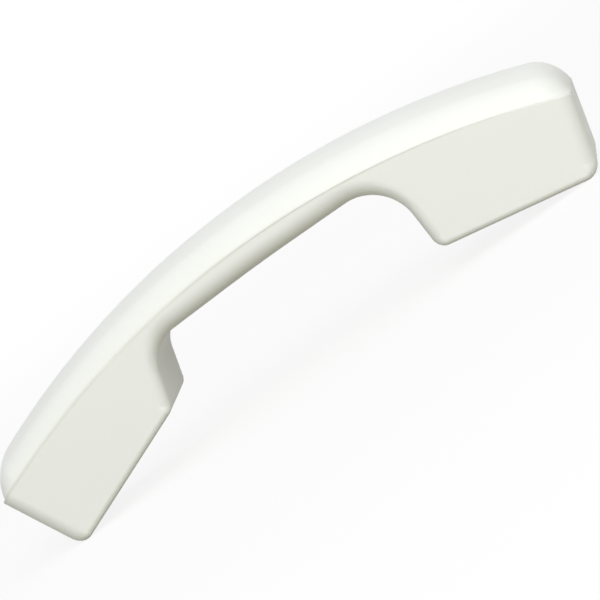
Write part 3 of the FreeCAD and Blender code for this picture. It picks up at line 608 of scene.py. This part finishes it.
def arc(centre: tuple[float, float], radius: float, first: float, last: float, count: int = 5) -> Outline:
    """Points along an arc of an outline.

    Args:
        centre: The arc's centre, as distance from the axis and height.
        radius: Its radius.
        first: Angle of its first point, in degrees from straight out.
        last: Angle of its last point.
        count: How many points it has.

    Returns:
        The points, both ends with them.
    """
    angles = [math.radians(first + (last - first) * index / (count - 1)) for index in range(count)]
    return [(centre[0] + radius * math.cos(angle), centre[1] + radius * math.sin(angle)) for angle in angles]


def drawn(form: bmesh.types.BMesh, outline: Iterable[tuple[float, float]], closed: bool) -> list[object]:
    """Draw an outline on the plane Y = 0.

    Args:
        form: The shape that takes it.
        outline: Points as distance from the axis and height.
        closed: Whether the last point joins the first.

    Returns:
        Its points and lines.
    """
    points = [form.verts.new((reach, 0.0, height)) for reach, height in outline]
    pairs = list(zip(points, points[1:]))
    if closed:
        pairs.append((points[-1], points[0]))
    return points + [form.edges.new(pair) for pair in pairs]


def spun(form: bmesh.types.BMesh, outline: Iterable[tuple[float, float]], steps: int,
         closed: bool = False) -> None:
    """Spin an outline round Z and close its poles.

    Args:
        form: The shape that takes it.
        outline: Points as distance from the axis and height.
        steps: Steps in the full turn.
        closed: Whether the last point joins the first.
    """
    bmesh.ops.spin(form, geom=drawn(form, outline, closed), cent=(0.0, 0.0, 0.0), axis=UP, angle=math.tau,
                   steps=steps, use_merge=True)
    bmesh.ops.remove_doubles(form, verts=form.verts, dist=WELD)
    bmesh.ops.recalc_face_normals(form, faces=form.faces)


def wound(form: bmesh.types.BMesh, section: Outline, pitch: float, turns: float, steps: int) -> None:
    """Carry a closed section round Z and along it, and close both its ends.

    Args:
        form: The shape that takes it.
        section: Points of the section as distance from the axis and height.
        pitch: How far it rises in a turn.
        turns: How many turns it makes.
        steps: Steps in a turn.
    """
    bmesh.ops.spin(form, geom=drawn(form, section, True), cent=(0.0, 0.0, 0.0), axis=UP,
                   dvec=UP * (pitch / steps), angle=math.tau * turns, steps=round(steps * turns),
                   use_merge=False)
    bmesh.ops.holes_fill(form, edges=form.edges, sides=len(section))
    bmesh.ops.recalc_face_normals(form, faces=form.faces)


def wire(points: Iterable[tuple[float, float, float]], radius: float) -> bmesh.types.BMesh:
    """A round wire that runs smoothly past its inner points.

    Args:
        points: The points that lead it.
        radius: Its radius.

    Returns:
        The wire's shape.
    """
    curve = bpy.data.curves.new("wire", "CURVE")
    curve.dimensions = "3D"
    curve.bevel_depth = radius
    curve.bevel_resolution = 3
    curve.use_fill_caps = True
    places = list(points)
    spline = curve.splines.new("NURBS")
    spline.points.add(len(places) - 1)
    for point, place in zip(spline.points, places):
        point.co = (*place, 1.0)
    spline.order_u = 3
    spline.use_endpoint_u = True
    holder = bpy.data.objects.new("wire", curve)
    mesh = bpy.data.meshes.new_from_object(holder)
    form = bmesh.new()
    form.from_mesh(mesh)
    bpy.data.objects.remove(holder)
    bpy.data.curves.remove(curve)
    bpy.data.meshes.remove(mesh)
    bmesh.ops.remove_doubles(form, verts=form.verts, dist=WELD)
    bmesh.ops.recalc_face_normals(form, faces=form.faces)
    return form


def install(piece: bpy.types.Object, slot: Slot, nodes: Iterable[str] = (),
            body: Body = Body.HANDSET) -> bpy.types.Object:
    """Dress a piece, fix it to its body and hide the nodes that it stands for.

    Args:
        piece: The piece, in place.
        slot: The slot whose finish it takes.
        nodes: The nodes that it stands for.
        body: The body that it rides on.

    Returns:
        The same piece.
    """
    paint(piece, slot)
    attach(piece, body.value)
    if nodes:
        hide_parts(*nodes)
    log.info("%s: %d faces, rides on %s", piece.name, len(piece.data.polygons), body.value)
    return piece


def assemble(name: str, shapes: Iterable[tuple[bmesh.types.BMesh, Matrix]], slot: Slot,
             nodes: Iterable[str] = (), body: Body = Body.HANDSET) -> bpy.types.Object:
    """Set shapes in place, join them as one piece and install it.

    Args:
        name: The piece's name.
        shapes: Shapes in millimetres, which are used up, each with the frame that it goes into.
        slot: The slot whose finish the piece takes.
        nodes: The nodes that it stands for.
        body: The body that it rides on.

    Returns:
        The finished piece.
    """
    whole = bmesh.new()
    for shape, place in shapes:
        bmesh.ops.transform(shape, matrix=place @ Matrix.Scale(MM, 4), verts=shape.verts)
        mesh = bpy.data.meshes.new("shape")
        shape.to_mesh(mesh)
        shape.free()
        whole.from_mesh(mesh)
        bpy.data.meshes.remove(mesh)
    crease(whole, SHARP)
    return install(new_piece(name, whole), slot, nodes, body)


@dataclass
class Refined:
    """A solid taken over as one clean mesh, with smooth faces and, where it is asked for, rounded edges.

    Attributes:
        node: The node that the piece stands for.
        name: The piece's name.
        slot: The slot whose finish it takes.
        rounding: Width of the rounding along its sharp edges, in millimetres, or 0.
        body: The body that it rides on.
        limit: Angle from which an edge is sharp, in radians.
    """

    node: str
    name: str
    slot: Slot
    rounding: float = 0.0
    body: Body = Body.HANDSET
    limit: float = math.radians(26.0)

    def build(self) -> bpy.types.Object:
        """Copy the node's mesh, join its doubled points, smooth it and install it.

        Returns:
            The finished piece.
        """
        form = bmesh.new()
        form.from_mesh(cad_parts[self.node].data)
        bmesh.ops.remove_doubles(form, verts=form.verts, dist=MERGE)
        if self.rounding > 0:
            bmesh.ops.dissolve_limit(form, angle_limit=math.radians(0.5), verts=form.verts, edges=form.edges)
        crease(form, self.limit)
        piece = new_piece(self.name, form)
        old_normals = piece.data.attributes.get("custom_normal")
        if old_normals:
            piece.data.attributes.remove(old_normals)
        if self.rounding > 0:
            bevel = piece.modifiers.new("rounding", "BEVEL")
            bevel.width = self.rounding * MM
            bevel.segments = 2
            bevel.limit_method = "ANGLE"
            bevel.angle_limit = self.limit
            bevel.harden_normals = False
        weighted = piece.modifiers.new("even_shading", "WEIGHTED_NORMAL")
        weighted.keep_sharp = True
        weighted.weight = 50
        return install(piece, self.slot, (self.node,), self.body)


@dataclass(frozen=True)
class CrossScrew:
    """Pan-headed screw with a cross recess and a thread. Its seat is at Z = 0, its head below it.

    Attributes:
        head: Radius of the head.
        head_height: Height of the head.
        shank: Radius over the thread.
        reach: Length from the seat to the tip.
        pitch: Rise of the thread in a turn.
    """

    CORE: ClassVar[float] = 0.78            # core's radius against the thread's
    ROUND: ClassVar[float] = 0.45           # rounding of the head's front against its height
    CHAMFER: ClassVar[float] = 0.1          # slope round the head's rim, in millimetres
    RECESS_HALF: ClassVar[float] = 0.13     # half width of the cross's arms against the head's radius
    RECESS_ARM: ClassVar[float] = 0.8       # their reach against the level front's radius
    RECESS_DEPTH: ClassVar[float] = 0.6     # the cross's depth against the head's height
    RECESS_FLOOR: ClassVar[float] = 0.6     # its floor's size against its mouth's
    TIP: ClassVar[float] = 0.8              # length of the tapered tip against the thread's radius
    POINT: ClassVar[float] = 0.35           # the tip's end against the core's radius
    THREAD_START: ClassVar[float] = 0.6     # from the seat to the thread, in millimetres
    RIDGE_HALF: ClassVar[float] = 0.22      # half the thread's foot against its pitch
    THREAD_END: ClassVar[float] = 1.1       # from the thread to the tip's end against its radius
    SUNK: ClassVar[float] = 0.1             # how far the thread's foot lies inside the core

    head: float
    head_height: float
    shank: float
    reach: float
    pitch: float

    @property
    def core(self) -> float:
        """Radius of the core inside the thread."""
        return self.CORE * self.shank

    @property
    def level(self) -> float:
        """Radius of the level part of the head's front."""
        return self.head - self.ROUND * self.head_height

    def turn_body(self, form: bmesh.types.BMesh) -> None:
        """Turn the head and the core, and close the head's front with one face.

        Args:
            form: The shape that takes them.
        """
        crown = self.head - self.level
        tip = self.TIP * self.shank
        outline = arc((self.level, crown - self.head_height), crown, -90.0, 0.0)
        outline += [(self.head, -self.CHAMFER), (self.head - self.CHAMFER, 0.0), (self.core, 0.0)]
        outline += [(self.core, self.reach - tip), (self.POINT * self.core, self.reach), (0.0, self.reach)]
        spun(form, outline, 48)
        bmesh.ops.edgeloop_fill(form, edges=[edge for edge in form.edges if edge.is_boundary])

    def press_recess(self, form: bmesh.types.BMesh) -> None:
        """Cut the cross out of the head's front and press it in, narrower at its floor.

        Args:
            form: The turned screw.
        """
        half = self.RECESS_HALF * self.head
        arm = self.RECESS_ARM * self.level
        front = -self.head_height + 0.01
        for axis in (Vector((1.0, 0.0, 0.0)), Vector((0.0, 1.0, 0.0))):
            for place in (-arm, -half, half, arm):
                faces = [face for face in form.faces if face.calc_center_median().z < front]
                around = {part for face in faces for part in (*face.edges, *face.verts)}
                bmesh.ops.bisect_plane(form, geom=faces + list(around), dist=WELD, plane_co=axis * place,
                                       plane_no=axis)
        cross = []
        for face in form.faces:
            centre = face.calc_center_median()
            near, far = sorted((abs(centre.x), abs(centre.y)))
            if centre.z < front and near < half and far < arm:
                cross.append(face)
        grown = bmesh.ops.extrude_face_region(form, geom=cross)["geom"]
        floor = [part for part in grown if isinstance(part, bmesh.types.BMVert)]
        bmesh.ops.translate(form, vec=UP * (self.RECESS_DEPTH * self.head_height), verts=floor)
        bmesh.ops.scale(form, vec=(self.RECESS_FLOOR, self.RECESS_FLOOR, 1.0), verts=floor)
        left = [face for face in cross if face.is_valid]
        bmesh.ops.delete(form, geom=left, context="FACES_ONLY")

    def model(self) -> bmesh.types.BMesh:
        """Make the screw.

        Returns:
            Its shape, tip up.
        """
        form = bmesh.new()
        self.turn_body(form)
        self.press_recess(form)
        foot = self.core - self.SUNK
        start = self.THREAD_START
        half = self.RIDGE_HALF * self.pitch
        ridge = [(foot, start), (self.shank, start + half), (foot, start + 2 * half)]
        turns = (self.reach - start - self.THREAD_END * self.shank) / self.pitch
        wound(form, ridge, self.pitch, turns, 24)
        return form


@dataclass(frozen=True)
class SolderJoint:
    """Solder that has wetted a pad and climbed up what is joined to it, standing at Z = 0.

    Attributes:
        foot: Radius on the pad.
        rise: Height at the middle.
    """

    TOP: ClassVar[float] = 0.42     # radius of the rounded top against the foot's
    FLANK: ClassVar[Outline] = [    # the hollow side, as shares of the foot and of the rise
        (0.5, 0.42), (0.68, 0.2), (0.9, 0.07), (1.0, 0.0), (0.0, 0.0),
    ]

    foot: float
    rise: float

    def model(self) -> bmesh.types.BMesh:
        """Make the joint.

        Returns:
            Its shape, with a rounded top and a hollow flank.
        """
        form = bmesh.new()
        top = self.TOP * self.foot
        cap = arc((0.0, self.rise - top), top, 90.0, 18.0)
        spun(form, cap + [(reach * self.foot, level * self.rise) for reach, level in self.FLANK], 24)
        return form


@dataclass
class Shells:
    """The rear cover and the front housing."""

    def build(self) -> None:
        """Take over both shells with even shading."""
        for node in ("rear_cover", "front_housing"):
            Refined(node, node + "_shell", Slot.SHELL).build()


@dataclass
class CaseScrews:
    """The two screws in the underside of the grip.

    Attributes:
        screw: Their make.
        turns: How each was left by its driver, in degrees.
    """

    screw: CrossScrew = CrossScrew(head=2.8, head_height=2.2, shank=1.5, reach=9.0, pitch=1.3)
    turns: tuple[float, float] = (17.0, 62.0)

    def build(self) -> None:
        """Stand both screws in the grip, where their solids are."""
        low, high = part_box("housing_screws")
        seat = low.z + self.screw.head_height * MM
        shapes = []
        for side, turn in zip((-1.0, 1.0), self.turns):
            place = Vector((side * (high.x - self.screw.head * MM), 0.0, seat))
            shapes.append((self.screw.model(), Matrix.Translation(place)
                           @ Matrix.Rotation(math.radians(turn), 4, "Z")))
        assemble("case_screws", shapes, Slot.SCREW, ("housing_screws",))


@dataclass
class DustCloth:
    """Round of woven cloth glued behind a face's holes.

    Attributes:
        node: The node that it stands for.
        radius: Its radius.
        level: How far inside the face its outer side lies.
        thickness: Its thickness.
        ripple: How far it moves in and out between the holes.
        waves: Pace of that ripple, in radians per millimetre.
        rings: Rings in its mesh.
    """

    node: str
    radius: float
    level: float
    thickness: float
    ripple: float = 0.04
    waves: float = 1.4
    rings: int = 12

    def build(self, place: Matrix) -> None:
        """Args:
            place: The frame of the face that it lies behind.
        """
        form = bmesh.new()
        spun(form, [(self.radius * index / self.rings, 0.0) for index in range(self.rings + 1)], 72)
        for vert in form.verts:
            inside = 1.0 - (vert.co.xy.length / self.radius) ** 2
            wave = math.sin(self.waves * vert.co.x) * math.sin(self.waves * vert.co.y)
            vert.co.z = self.ripple * inside * wave
        bmesh.ops.solidify(form, geom=form.faces, thickness=self.thickness - 2 * self.ripple)
        bmesh.ops.translate(form, vec=UP * (self.level + self.thickness / 2), verts=form.verts)
        bmesh.ops.recalc_face_normals(form, faces=form.faces)
        cloth = assemble(self.node + "_weave", [(form, place)], Slot.CLOTH, (self.node,))


@dataclass
class Receiver:
    """The receiver with its cloth, clamp and screws, stacked inwards from the earpiece's face.

    Heights are millimetres inside the face.

    Attributes:
        gasket_middle: Height of the gasket's middle.
        film_back: Height of the diaphragm's level rim.
        film: Its thickness.
        film_radius: Its radius.
        dome_radius: Radius of the dome in its middle.
        dome_rise: How far the dome stands out.
        roll_inside: Radius where the roll starts.
        roll_outside: Radius where it ends.
        roll_rise: How far it stands out.
        ribs: Slanting ribs in the roll.
        rib_rise: Their height.
        coil_bore: Radius inside the coil.
        coil_outside: Radius outside it.
        coil_length: Its length.
        wire_radius: Radius of its wire.
        board_back: Height of the terminal board's back.
        disc_radius: Radius of the click suppressor.
        disc_thickness: Its thickness.
        leg_radius: Radius of its legs.
        lug_place: Distance of the lugs from the middle.
        lug_foot: Thickness of their feet.
        clamp_back: Height of the clamp's back.
        post_place: Distance of the clamp's screws from the middle.
        screw: The clamp screws' make.
    """

    gasket_middle: float = 4.0
    film_back: float = 7.6
    film: float = 0.2
    film_radius: float = 16.3
    dome_radius: float = 5.9
    dome_rise: float = 1.15
    roll_inside: float = 6.9
    roll_outside: float = 15.1
    roll_rise: float = 0.65
    ribs: int = 36
    rib_rise: float = 0.07
    coil_bore: float = 6.1
    coil_outside: float = 6.6
    coil_length: float = 4.0
    wire_radius: float = 0.11
    board_back: float = 16.0
    disc_radius: float = 3.5
    disc_thickness: float = 1.6
    leg_radius: float = 0.25
    lug_place: float = 8.0
    lug_foot: float = 0.4
    clamp_back: float = 11.2
    post_place: float = 22.0
    screw: CrossScrew = CrossScrew(head=2.3, head_height=1.4, shank=1.25, reach=6.0, pitch=1.0)

    @property
    def place(self) -> Matrix:
        """The earpiece's frame."""
        return inward_frame("receiver_gasket", self.gasket_middle, EAR_TILT)

    def roll_share(self, reach: float) -> float:
        """How far across the roll a distance from the axis lies.

        Args:
            reach: The distance.

        Returns:
            0 at the roll's inside, 1 at its outside.
        """
        return (reach - self.roll_inside) / (self.roll_outside - self.roll_inside)

    def rise_at(self, reach: float) -> float:
        """How far the diaphragm stands out at a distance from its axis.

        Args:
            reach: The distance.

        Returns:
            The height over its level rim.
        """
        if reach < self.dome_radius:
            share = reach / self.dome_radius
            return self.dome_rise * (1.0 - share ** 2)
        if self.roll_inside < reach < self.roll_outside:
            share = self.roll_share(reach)
            return self.roll_rise * 4.0 * share * (1.0 - share)
        return 0.0

    def diaphragm(self) -> None:
        """Model the film with its dome and its ribbed roll."""
        rings = 44
        slant = 0.5
        form = bmesh.new()
        reaches = [self.film_radius * index / rings for index in range(rings + 1)]
        spun(form, [(reach, -self.rise_at(reach)) for reach in reaches], 6 * self.ribs)
        for vert in form.verts:
            reach = vert.co.xy.length
            if self.roll_inside < reach < self.roll_outside:
                share = self.roll_share(reach)
                turn = math.atan2(vert.co.y, vert.co.x) + slant * share
                vert.co.z -= self.rib_rise * math.sin(math.pi * share) * math.sin(self.ribs * turn)
        bmesh.ops.recalc_face_normals(form, faces=form.faces)
        bmesh.ops.solidify(form, geom=form.faces, thickness=self.film)
        highest = max(vert.co.z for vert in form.verts)
        bmesh.ops.translate(form, vec=UP * (self.film_back - highest), verts=form.verts)
        bmesh.ops.recalc_face_normals(form, faces=form.faces)
        assemble("receiver_film", [(form, self.place)], Slot.FILM, ("receiver_diaphragm",), Body.CONE)

    def voice_coil(self) -> None:
        """Model the paper former and two layers of wire round it."""
        bare_start = 0.7
        bare_ends = 1.0
        former = bmesh.new()
        back = self.film_back + self.coil_length
        outside = self.coil_outside - 4.0 * self.wire_radius
        spun(former, [(self.coil_bore, self.film_back), (outside, self.film_back),
                      (outside, back), (self.coil_bore, back)], 96, closed=True)
        assemble("coil_former", [(former, self.place)], Slot.FILM, body=Body.CONE)
        winding = bmesh.new()
        pitch = 2.05 * self.wire_radius
        start = self.film_back + bare_start
        turns = (self.coil_length - bare_ends) / pitch
        for layer in (0, 1):
            centre = (outside + (1 + 2 * layer) * self.wire_radius, start + layer * pitch / 2)
            section = arc(centre, self.wire_radius, 0.0, 300.0, 6)
            wound(winding, section, pitch, turns - layer, 48)
        assemble("coil_winding", [(winding, self.place)], Slot.COPPER, ("receiver_voice_coil",), Body.CONE)

    def click_suppressor(self) -> None:
        """Model the dipped disc between the lugs, and its two legs."""
        low, high = self.board_back, self.board_back + self.disc_thickness
        half = self.disc_thickness / 2
        dimple = 0.12
        reach = self.disc_radius - half
        flat = 0.75 * reach
        disc = bmesh.new()
        outline = [(0.0, low + dimple), (flat, low)]
        outline += arc((reach, low + half), half, -80.0, 80.0, 9)
        spun(disc, outline + [(flat, high), (0.0, high - dimple)], 48)
        assemble("suppressor_disc", [(disc, self.place)], Slot.SUPPRESSOR, ("click_suppressor",))
        rest = self.board_back + self.lug_foot + self.leg_radius
        route = ((0.5, 3.0, 0.2), (0.7, 4.4, 0.2), (1.0, 5.4, 0.0), (1.0, 7.7, 0.0))
        legs = []
        for side in (-1.0, 1.0):
            points = [(along, side * across, rest + lift) for along, across, lift in route]
            legs.append((wire(points, self.leg_radius), self.place))
        assemble("suppressor_legs", legs, Slot.TINNED)

    def solder(self) -> None:
        """Model the solder at each lug's foot and round each lead's end."""
        foot = SolderJoint(foot=0.62, rise=0.62)
        end = SolderJoint(foot=1.05, rise=1.1)
        joints = []
        for side in (-1.0, 1.0):
            on_foot = moved(self.place, 1.0, side * (self.lug_place - 0.25), self.board_back + self.lug_foot)
            on_lug = moved(self.place, -0.25, side * self.lug_place, self.board_back + 1.5)
            joints.append((foot.model(), on_foot))
            joints.append((end.model(), on_lug @ Matrix.Rotation(-math.pi / 2, 4, "Y")))
        assemble("receiver_solder", joints, Slot.TINNED)

    def clamp_screws(self) -> None:
        """Drive both screws through the clamp, heads towards the back."""
        over = Matrix.Rotation(math.pi, 4, "X")
        screws = []
        for side, turn in ((-1.0, 34.0), (1.0, 5.0)):
            seat = moved(self.place, side * self.post_place, 0.0, self.clamp_back)
            screws.append((self.screw.model(), seat @ over @ Matrix.Rotation(math.radians(turn), 4, "Z")))
        assemble("clamp_screws", screws, Slot.SCREW, ("receiver_clamp_screws",))

    def build(self) -> None:
        """Build the receiver from its cloth to its terminals."""
        DustCloth("ear_dust_cloth", radius=14.6, level=3.4, thickness=0.3).build(self.place)
        Refined("receiver_gasket", "receiver_gasket_ring", Slot.RUBBER, rounding=0.35).build()
        Refined("receiver_front_cap", "receiver_cap", Slot.BLACK, rounding=0.15).build()
        self.diaphragm()
        self.voice_coil()
        Refined("receiver_pole_plate", "receiver_pole", Slot.MAGNET, rounding=0.15).build()
        Refined("receiver_magnet", "receiver_magnet_disc", Slot.MAGNET, rounding=0.3).build()
        Refined("receiver_yoke", "receiver_cup", Slot.MAGNET, rounding=0.25).build()
        Refined("receiver_frame", "receiver_basket", Slot.BLACK, rounding=0.2).build()
        Refined("receiver_terminal_board", "receiver_board", Slot.BOARD, rounding=0.1).build()
        Refined("receiver_terminals", "receiver_lugs", Slot.TINNED, rounding=0.08).build()
        self.click_suppressor()
        self.solder()
        Refined("receiver_clamp", "receiver_clamp_ring", Slot.GREY, rounding=0.25).build()
        self.clamp_screws()


@dataclass
class Microphone:
    """The microphone with its cloth and boot, stacked inwards from the mouthpiece's face.

    Heights are millimetres inside the face.

    Attributes:
        can_middle: Height of the can's middle.
        can_front: Height of its front.
        radius: Its radius.
        length: Its length.
        wall: Its wall.
        port: Radius of its sound port.
        lip: How far its rolled edge reaches in over the board.
        lip_height: Height of that edge.
        pad_place: Where the leads are soldered, along and across the handset.
    """

    can_middle: float = 7.45
    can_front: float = 4.2
    radius: float = 4.85
    length: float = 6.5
    wall: float = 0.35
    port: float = 1.0
    lip: float = 0.7
    lip_height: float = 0.24
    pad_place: tuple[float, float] = (0.9, 2.2)

    @property
    def place(self) -> Matrix:
        """The mouthpiece's frame."""
        return inward_frame("microphone_capsule", self.can_middle, -MOUTH_TILT)

    def can(self) -> None:
        """Model the drawn can, its edge rolled over the board behind it."""
        form = bmesh.new()
        back = self.can_front + self.length
        bend = 0.3
        roll = back - self.lip_height
        outline = [(self.port, self.can_front)]
        outline += arc((self.radius - bend, self.can_front + bend), bend, -90.0, 0.0)
        outline += arc((self.radius - self.lip_height, roll), self.lip_height, 0.0, 90.0)
        outline += arc((self.radius - self.lip, roll + 0.1), self.lip_height - 0.1, 90.0, 180.0)
        outline += [(self.radius - self.wall, roll), (self.radius - self.wall, self.can_front + self.wall)]
        spun(form, outline + [(self.port, self.can_front + self.wall)], 96, closed=True)
        assemble("microphone_can", [(form, self.place)], Slot.CAN, ("microphone_capsule",))

    def solder(self) -> None:
        """Solder both leads to the board's pads."""
        joint = SolderJoint(foot=1.25, rise=1.5)
        along, across = self.pad_place
        level = self.can_front + self.length - 0.3
        joints = [
            (joint.model(), moved(self.place, along, side * across, level))
            for side in (-1.0, 1.0)
        ]
        assemble("microphone_solder", joints, Slot.TINNED)

    def build(self) -> None:
        """Build the microphone from its cloth to its solder."""
        DustCloth("mouth_dust_cloth", radius=6.0, level=3.0, thickness=0.4).build(self.place)
        Refined("microphone_boot", "microphone_rubber_cup", Slot.RUBBER, rounding=0.3).build()
        self.can()
        Refined("microphone_back_board", "microphone_board", Slot.BOARD, rounding=0.1).build()
        self.solder()


@dataclass
class Jack:
    """The modular jack: its moulding, the block behind it, the contacts and the crimps on their tails.

    Attributes:
        contacts: How many contacts it has.
        pitch: Distance between them.
        crimp: Outline of a crimp from its front, as distance from its line and place along it.
        crimp_gap: From the contacts' ends back to the crimps' ends.
        lead_line: Height of the tails under the jack's top.
    """

    contacts: int = 4
    pitch: float = 1.27
    crimp: tuple[tuple[float, float], ...] = (
        (0.34, 0.0), (0.50, 0.08), (0.52, 0.45), (0.43, 0.60), (0.43, 0.80), (0.52, 0.95), (0.52, 1.35),
        (0.48, 1.45), (0.34, 1.45),
    )
    crimp_gap: float = 0.25
    lead_line: float = 1.2

    def crimps(self) -> None:
        """Press one crimp on each contact's tail."""
        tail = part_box("jack_contact_leads")[1].x
        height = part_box("jack_body")[1].z - self.lead_line * MM
        start = tail + (self.crimp_gap - self.crimp[-1][1]) * MM
        lie = Matrix.Rotation(math.pi / 2, 4, "Y")
        shapes = []
        for index in range(self.contacts):
            across = self.pitch * (index - (self.contacts - 1) / 2) * MM
            form = bmesh.new()
            spun(form, self.crimp, 24, closed=True)
            shapes.append((form, Matrix.Translation((start, across, height)) @ lie))
        assemble("lead_crimps", shapes, Slot.TINNED)

    def build(self) -> None:
        """Take over the jack's solids with rounded edges, and add the crimps."""
        Refined("jack_body", "jack_moulding", Slot.JACK, rounding=0.15).build()
        Refined("jack_insert", "jack_block", Slot.JACK, rounding=0.15).build()
        Refined("jack_contact_leads", "jack_fixed_contacts", Slot.GOLD, rounding=0.05).build()
        Refined("jack_contacts", "jack_contact_springs", Slot.GOLD, rounding=0.05, body=Body.SPRINGS).build()
        self.crimps()


@dataclass
class Ballast:
    """The steel bar in the grip and the adhesive foam under it."""

    def build(self) -> None:
        """Take over both, with the foam's edge pressed round."""
        foam = Refined("ballast_pad", "ballast_foam", Slot.FOAM, rounding=0.2).build()
        Refined("ballast_weight", "ballast_bar", Slot.BALLAST, rounding=0.5).build()


@dataclass
class Leads:
    """The four coloured leads."""

    def build(self) -> None:
        """Take over each lead with the finish of its colour."""
        colours = {
            "receiver_lead_red": Slot.RED,
            "receiver_lead_green": Slot.GREEN,
            "microphone_lead_black": Slot.BLACK_LEAD,
            "microphone_lead_yellow": Slot.YELLOW,
        }
        for node, slot in colours.items():
            Refined(node, node + "_insulation", slot).build()


@dataclass
class Studio:
    """Floor, lamps, world and camera.

    Attributes:
        eye: Where the camera stands.
        target: What it looks at.
        roll: Turn about its own axis, in radians.
        lens: Focal length for a 36 mm sensor, in millimetres.
        floor_half: Half the floor's side.
        floor_bounce: The floor's colour for the light that it throws back.
        floor_shown: Its colour to the camera.
        floor_glow: How far the floor near the handset looks plain white.
        glow_near: Distance from which the floor's shading fades out.
        glow_far: Distance where it is all white.
        world_strength: Strength of the fill from all round.
        lamps: Each lamp's name, place, side and power in watts.
    """

    eye: Vector = Vector((183.15, -1174.0, 148.7)) * MM
    target: Vector = Vector((4.8, -24.0, 21.6)) * MM
    roll: float = 0.64146
    lens: float = 234.44
    floor_half: float = 3.0
    floor_bounce: tuple[float, float, float] = (0.34, 0.33, 0.24)
    floor_shown: tuple[float, float, float] = (0.9, 0.9, 0.9)
    floor_glow: float = 0.87
    glow_near: float = 0.2
    glow_far: float = 0.9
    world_strength: float = 0.5
    lamps: tuple[tuple[str, tuple[float, float, float], float, float], ...] = (
        ("key", (0.6, -1.05, 0.9), 1.2, 9.8),
        ("fill", (0.1, -1.4, 0.65), 1.1, 7.4),
    )

    def camera(self) -> None:
        """Stand the camera as the photograph was taken."""
        data = bpy.data.cameras.new("camera")
        data.lens = self.lens
        data.sensor_width = 36.0
        data.clip_end = 20.0
        camera = new_object("camera", data)
        ahead = (self.target - self.eye).normalized()
        level = ahead.cross(UP).normalized()
        above = level.cross(ahead)
        right = math.cos(self.roll) * level - math.sin(self.roll) * above
        top = math.sin(self.roll) * level + math.cos(self.roll) * above
        facing = Matrix((right, top, -ahead)).transposed().to_4x4()
        camera.matrix_world = Matrix.Translation(self.eye) @ facing
        bpy.context.scene.camera = camera

    def lamp(self, name: str, place: tuple[float, float, float], size: float, power: float) -> None:
        """Hang one soft square lamp that points at the handset.

        Args:
            name: The lamp's name.
            place: Where it hangs.
            size: Its side.
            power: Its power, in watts.
        """
        data = bpy.data.lights.new(name, "AREA")
        data.size = size
        data.energy = power
        lamp = new_object(name, data)
        lamp.location = place
        lamp.rotation_euler = (self.target - Vector(place)).to_track_quat("-Z", "Y").to_euler()

    def seen(self, board: NodeBoard) -> bpy.types.NodeSocket:
        """Mask of the rays that should meet plain white: from the camera, mirrored and refracted.

        Args:
            board: The nodes of the floor or the world.

        Returns:
            The socket that holds the mask.
        """
        sight = board.add("ShaderNodeLightPath")
        direct = board.work("MAXIMUM", sight.outputs["Is Camera Ray"], sight.outputs["Is Transmission Ray"])
        return board.work("MAXIMUM", direct, sight.outputs["Is Glossy Ray"])

    def world(self) -> None:
        """White to the camera and in reflections, and a soft fill for everything else."""
        world = bpy.data.worlds.new("studio")
        board = NodeBoard.cleared(world)
        fill = board.add("ShaderNodeBackground", {"Color": WHITE, "Strength": self.world_strength})
        white = board.add("ShaderNodeBackground", {"Color": WHITE, "Strength": 1.0})
        seen = self.seen(board)
        mix = board.add("ShaderNodeMixShader", {0: seen, 1: fill.outputs[0], 2: white.outputs[0]})
        board.add("ShaderNodeOutputWorld", {"Surface": mix.outputs[0]})
        bpy.context.scene.world = world

    def floor(self) -> None:
        """A pale floor that keeps the handset's shadow and fades to the white behind it."""
        form = bmesh.new()
        bmesh.ops.create_grid(form, x_segments=2, y_segments=2, size=self.floor_half)
        floor = new_piece("floor", form)
        material = bpy.data.materials.new("floor")
        board = NodeBoard.cleared(material)
        seen = self.seen(board)
        colour = board.blend(seen, self.floor_bounce, self.floor_shown)
        matt = board.add("ShaderNodeBsdfDiffuse", {"Color": colour})
        glow = board.add("ShaderNodeEmission", {"Color": WHITE, "Strength": 1.0})
        place = board.add("ShaderNodeTexCoord").outputs["Object"]
        away = board.add("ShaderNodeVectorMath", {0: place}, operation="LENGTH")
        fade = board.add("ShaderNodeMapRange", {
            "Value": away.outputs["Value"], "From Min": self.glow_near, "From Max": self.glow_far,
            "To Min": self.floor_glow, "To Max": 1.0,
        }, interpolation_type="SMOOTHSTEP")
        share = board.work("MULTIPLY", seen, fade.outputs["Result"])
        mix = board.add("ShaderNodeMixShader", {0: share, 1: matt.outputs[0], 2: glow.outputs[0]})
        board.add("ShaderNodeOutputMaterial", {"Surface": mix.outputs[0]})
        floor.data.materials.append(material)

    def build(self) -> None:
        """Set up the whole studio."""
        bpy.context.scene.view_settings.view_transform = "Standard"
        self.camera()
        self.world()
        self.floor()
        for lamp in self.lamps:
            self.lamp(*lamp)


def main() -> None:
    """Build the handset and its studio."""
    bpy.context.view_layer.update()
    Shells().build()
    CaseScrews().build()
    Receiver().build()
    Microphone().build()
    Jack().build()
    Ballast().build()
    Leads().build()
    Studio().build()


if __name__ == "__main__":
    logging.basicConfig(level=logging.INFO, format="%(name)s: %(message)s")
    main()
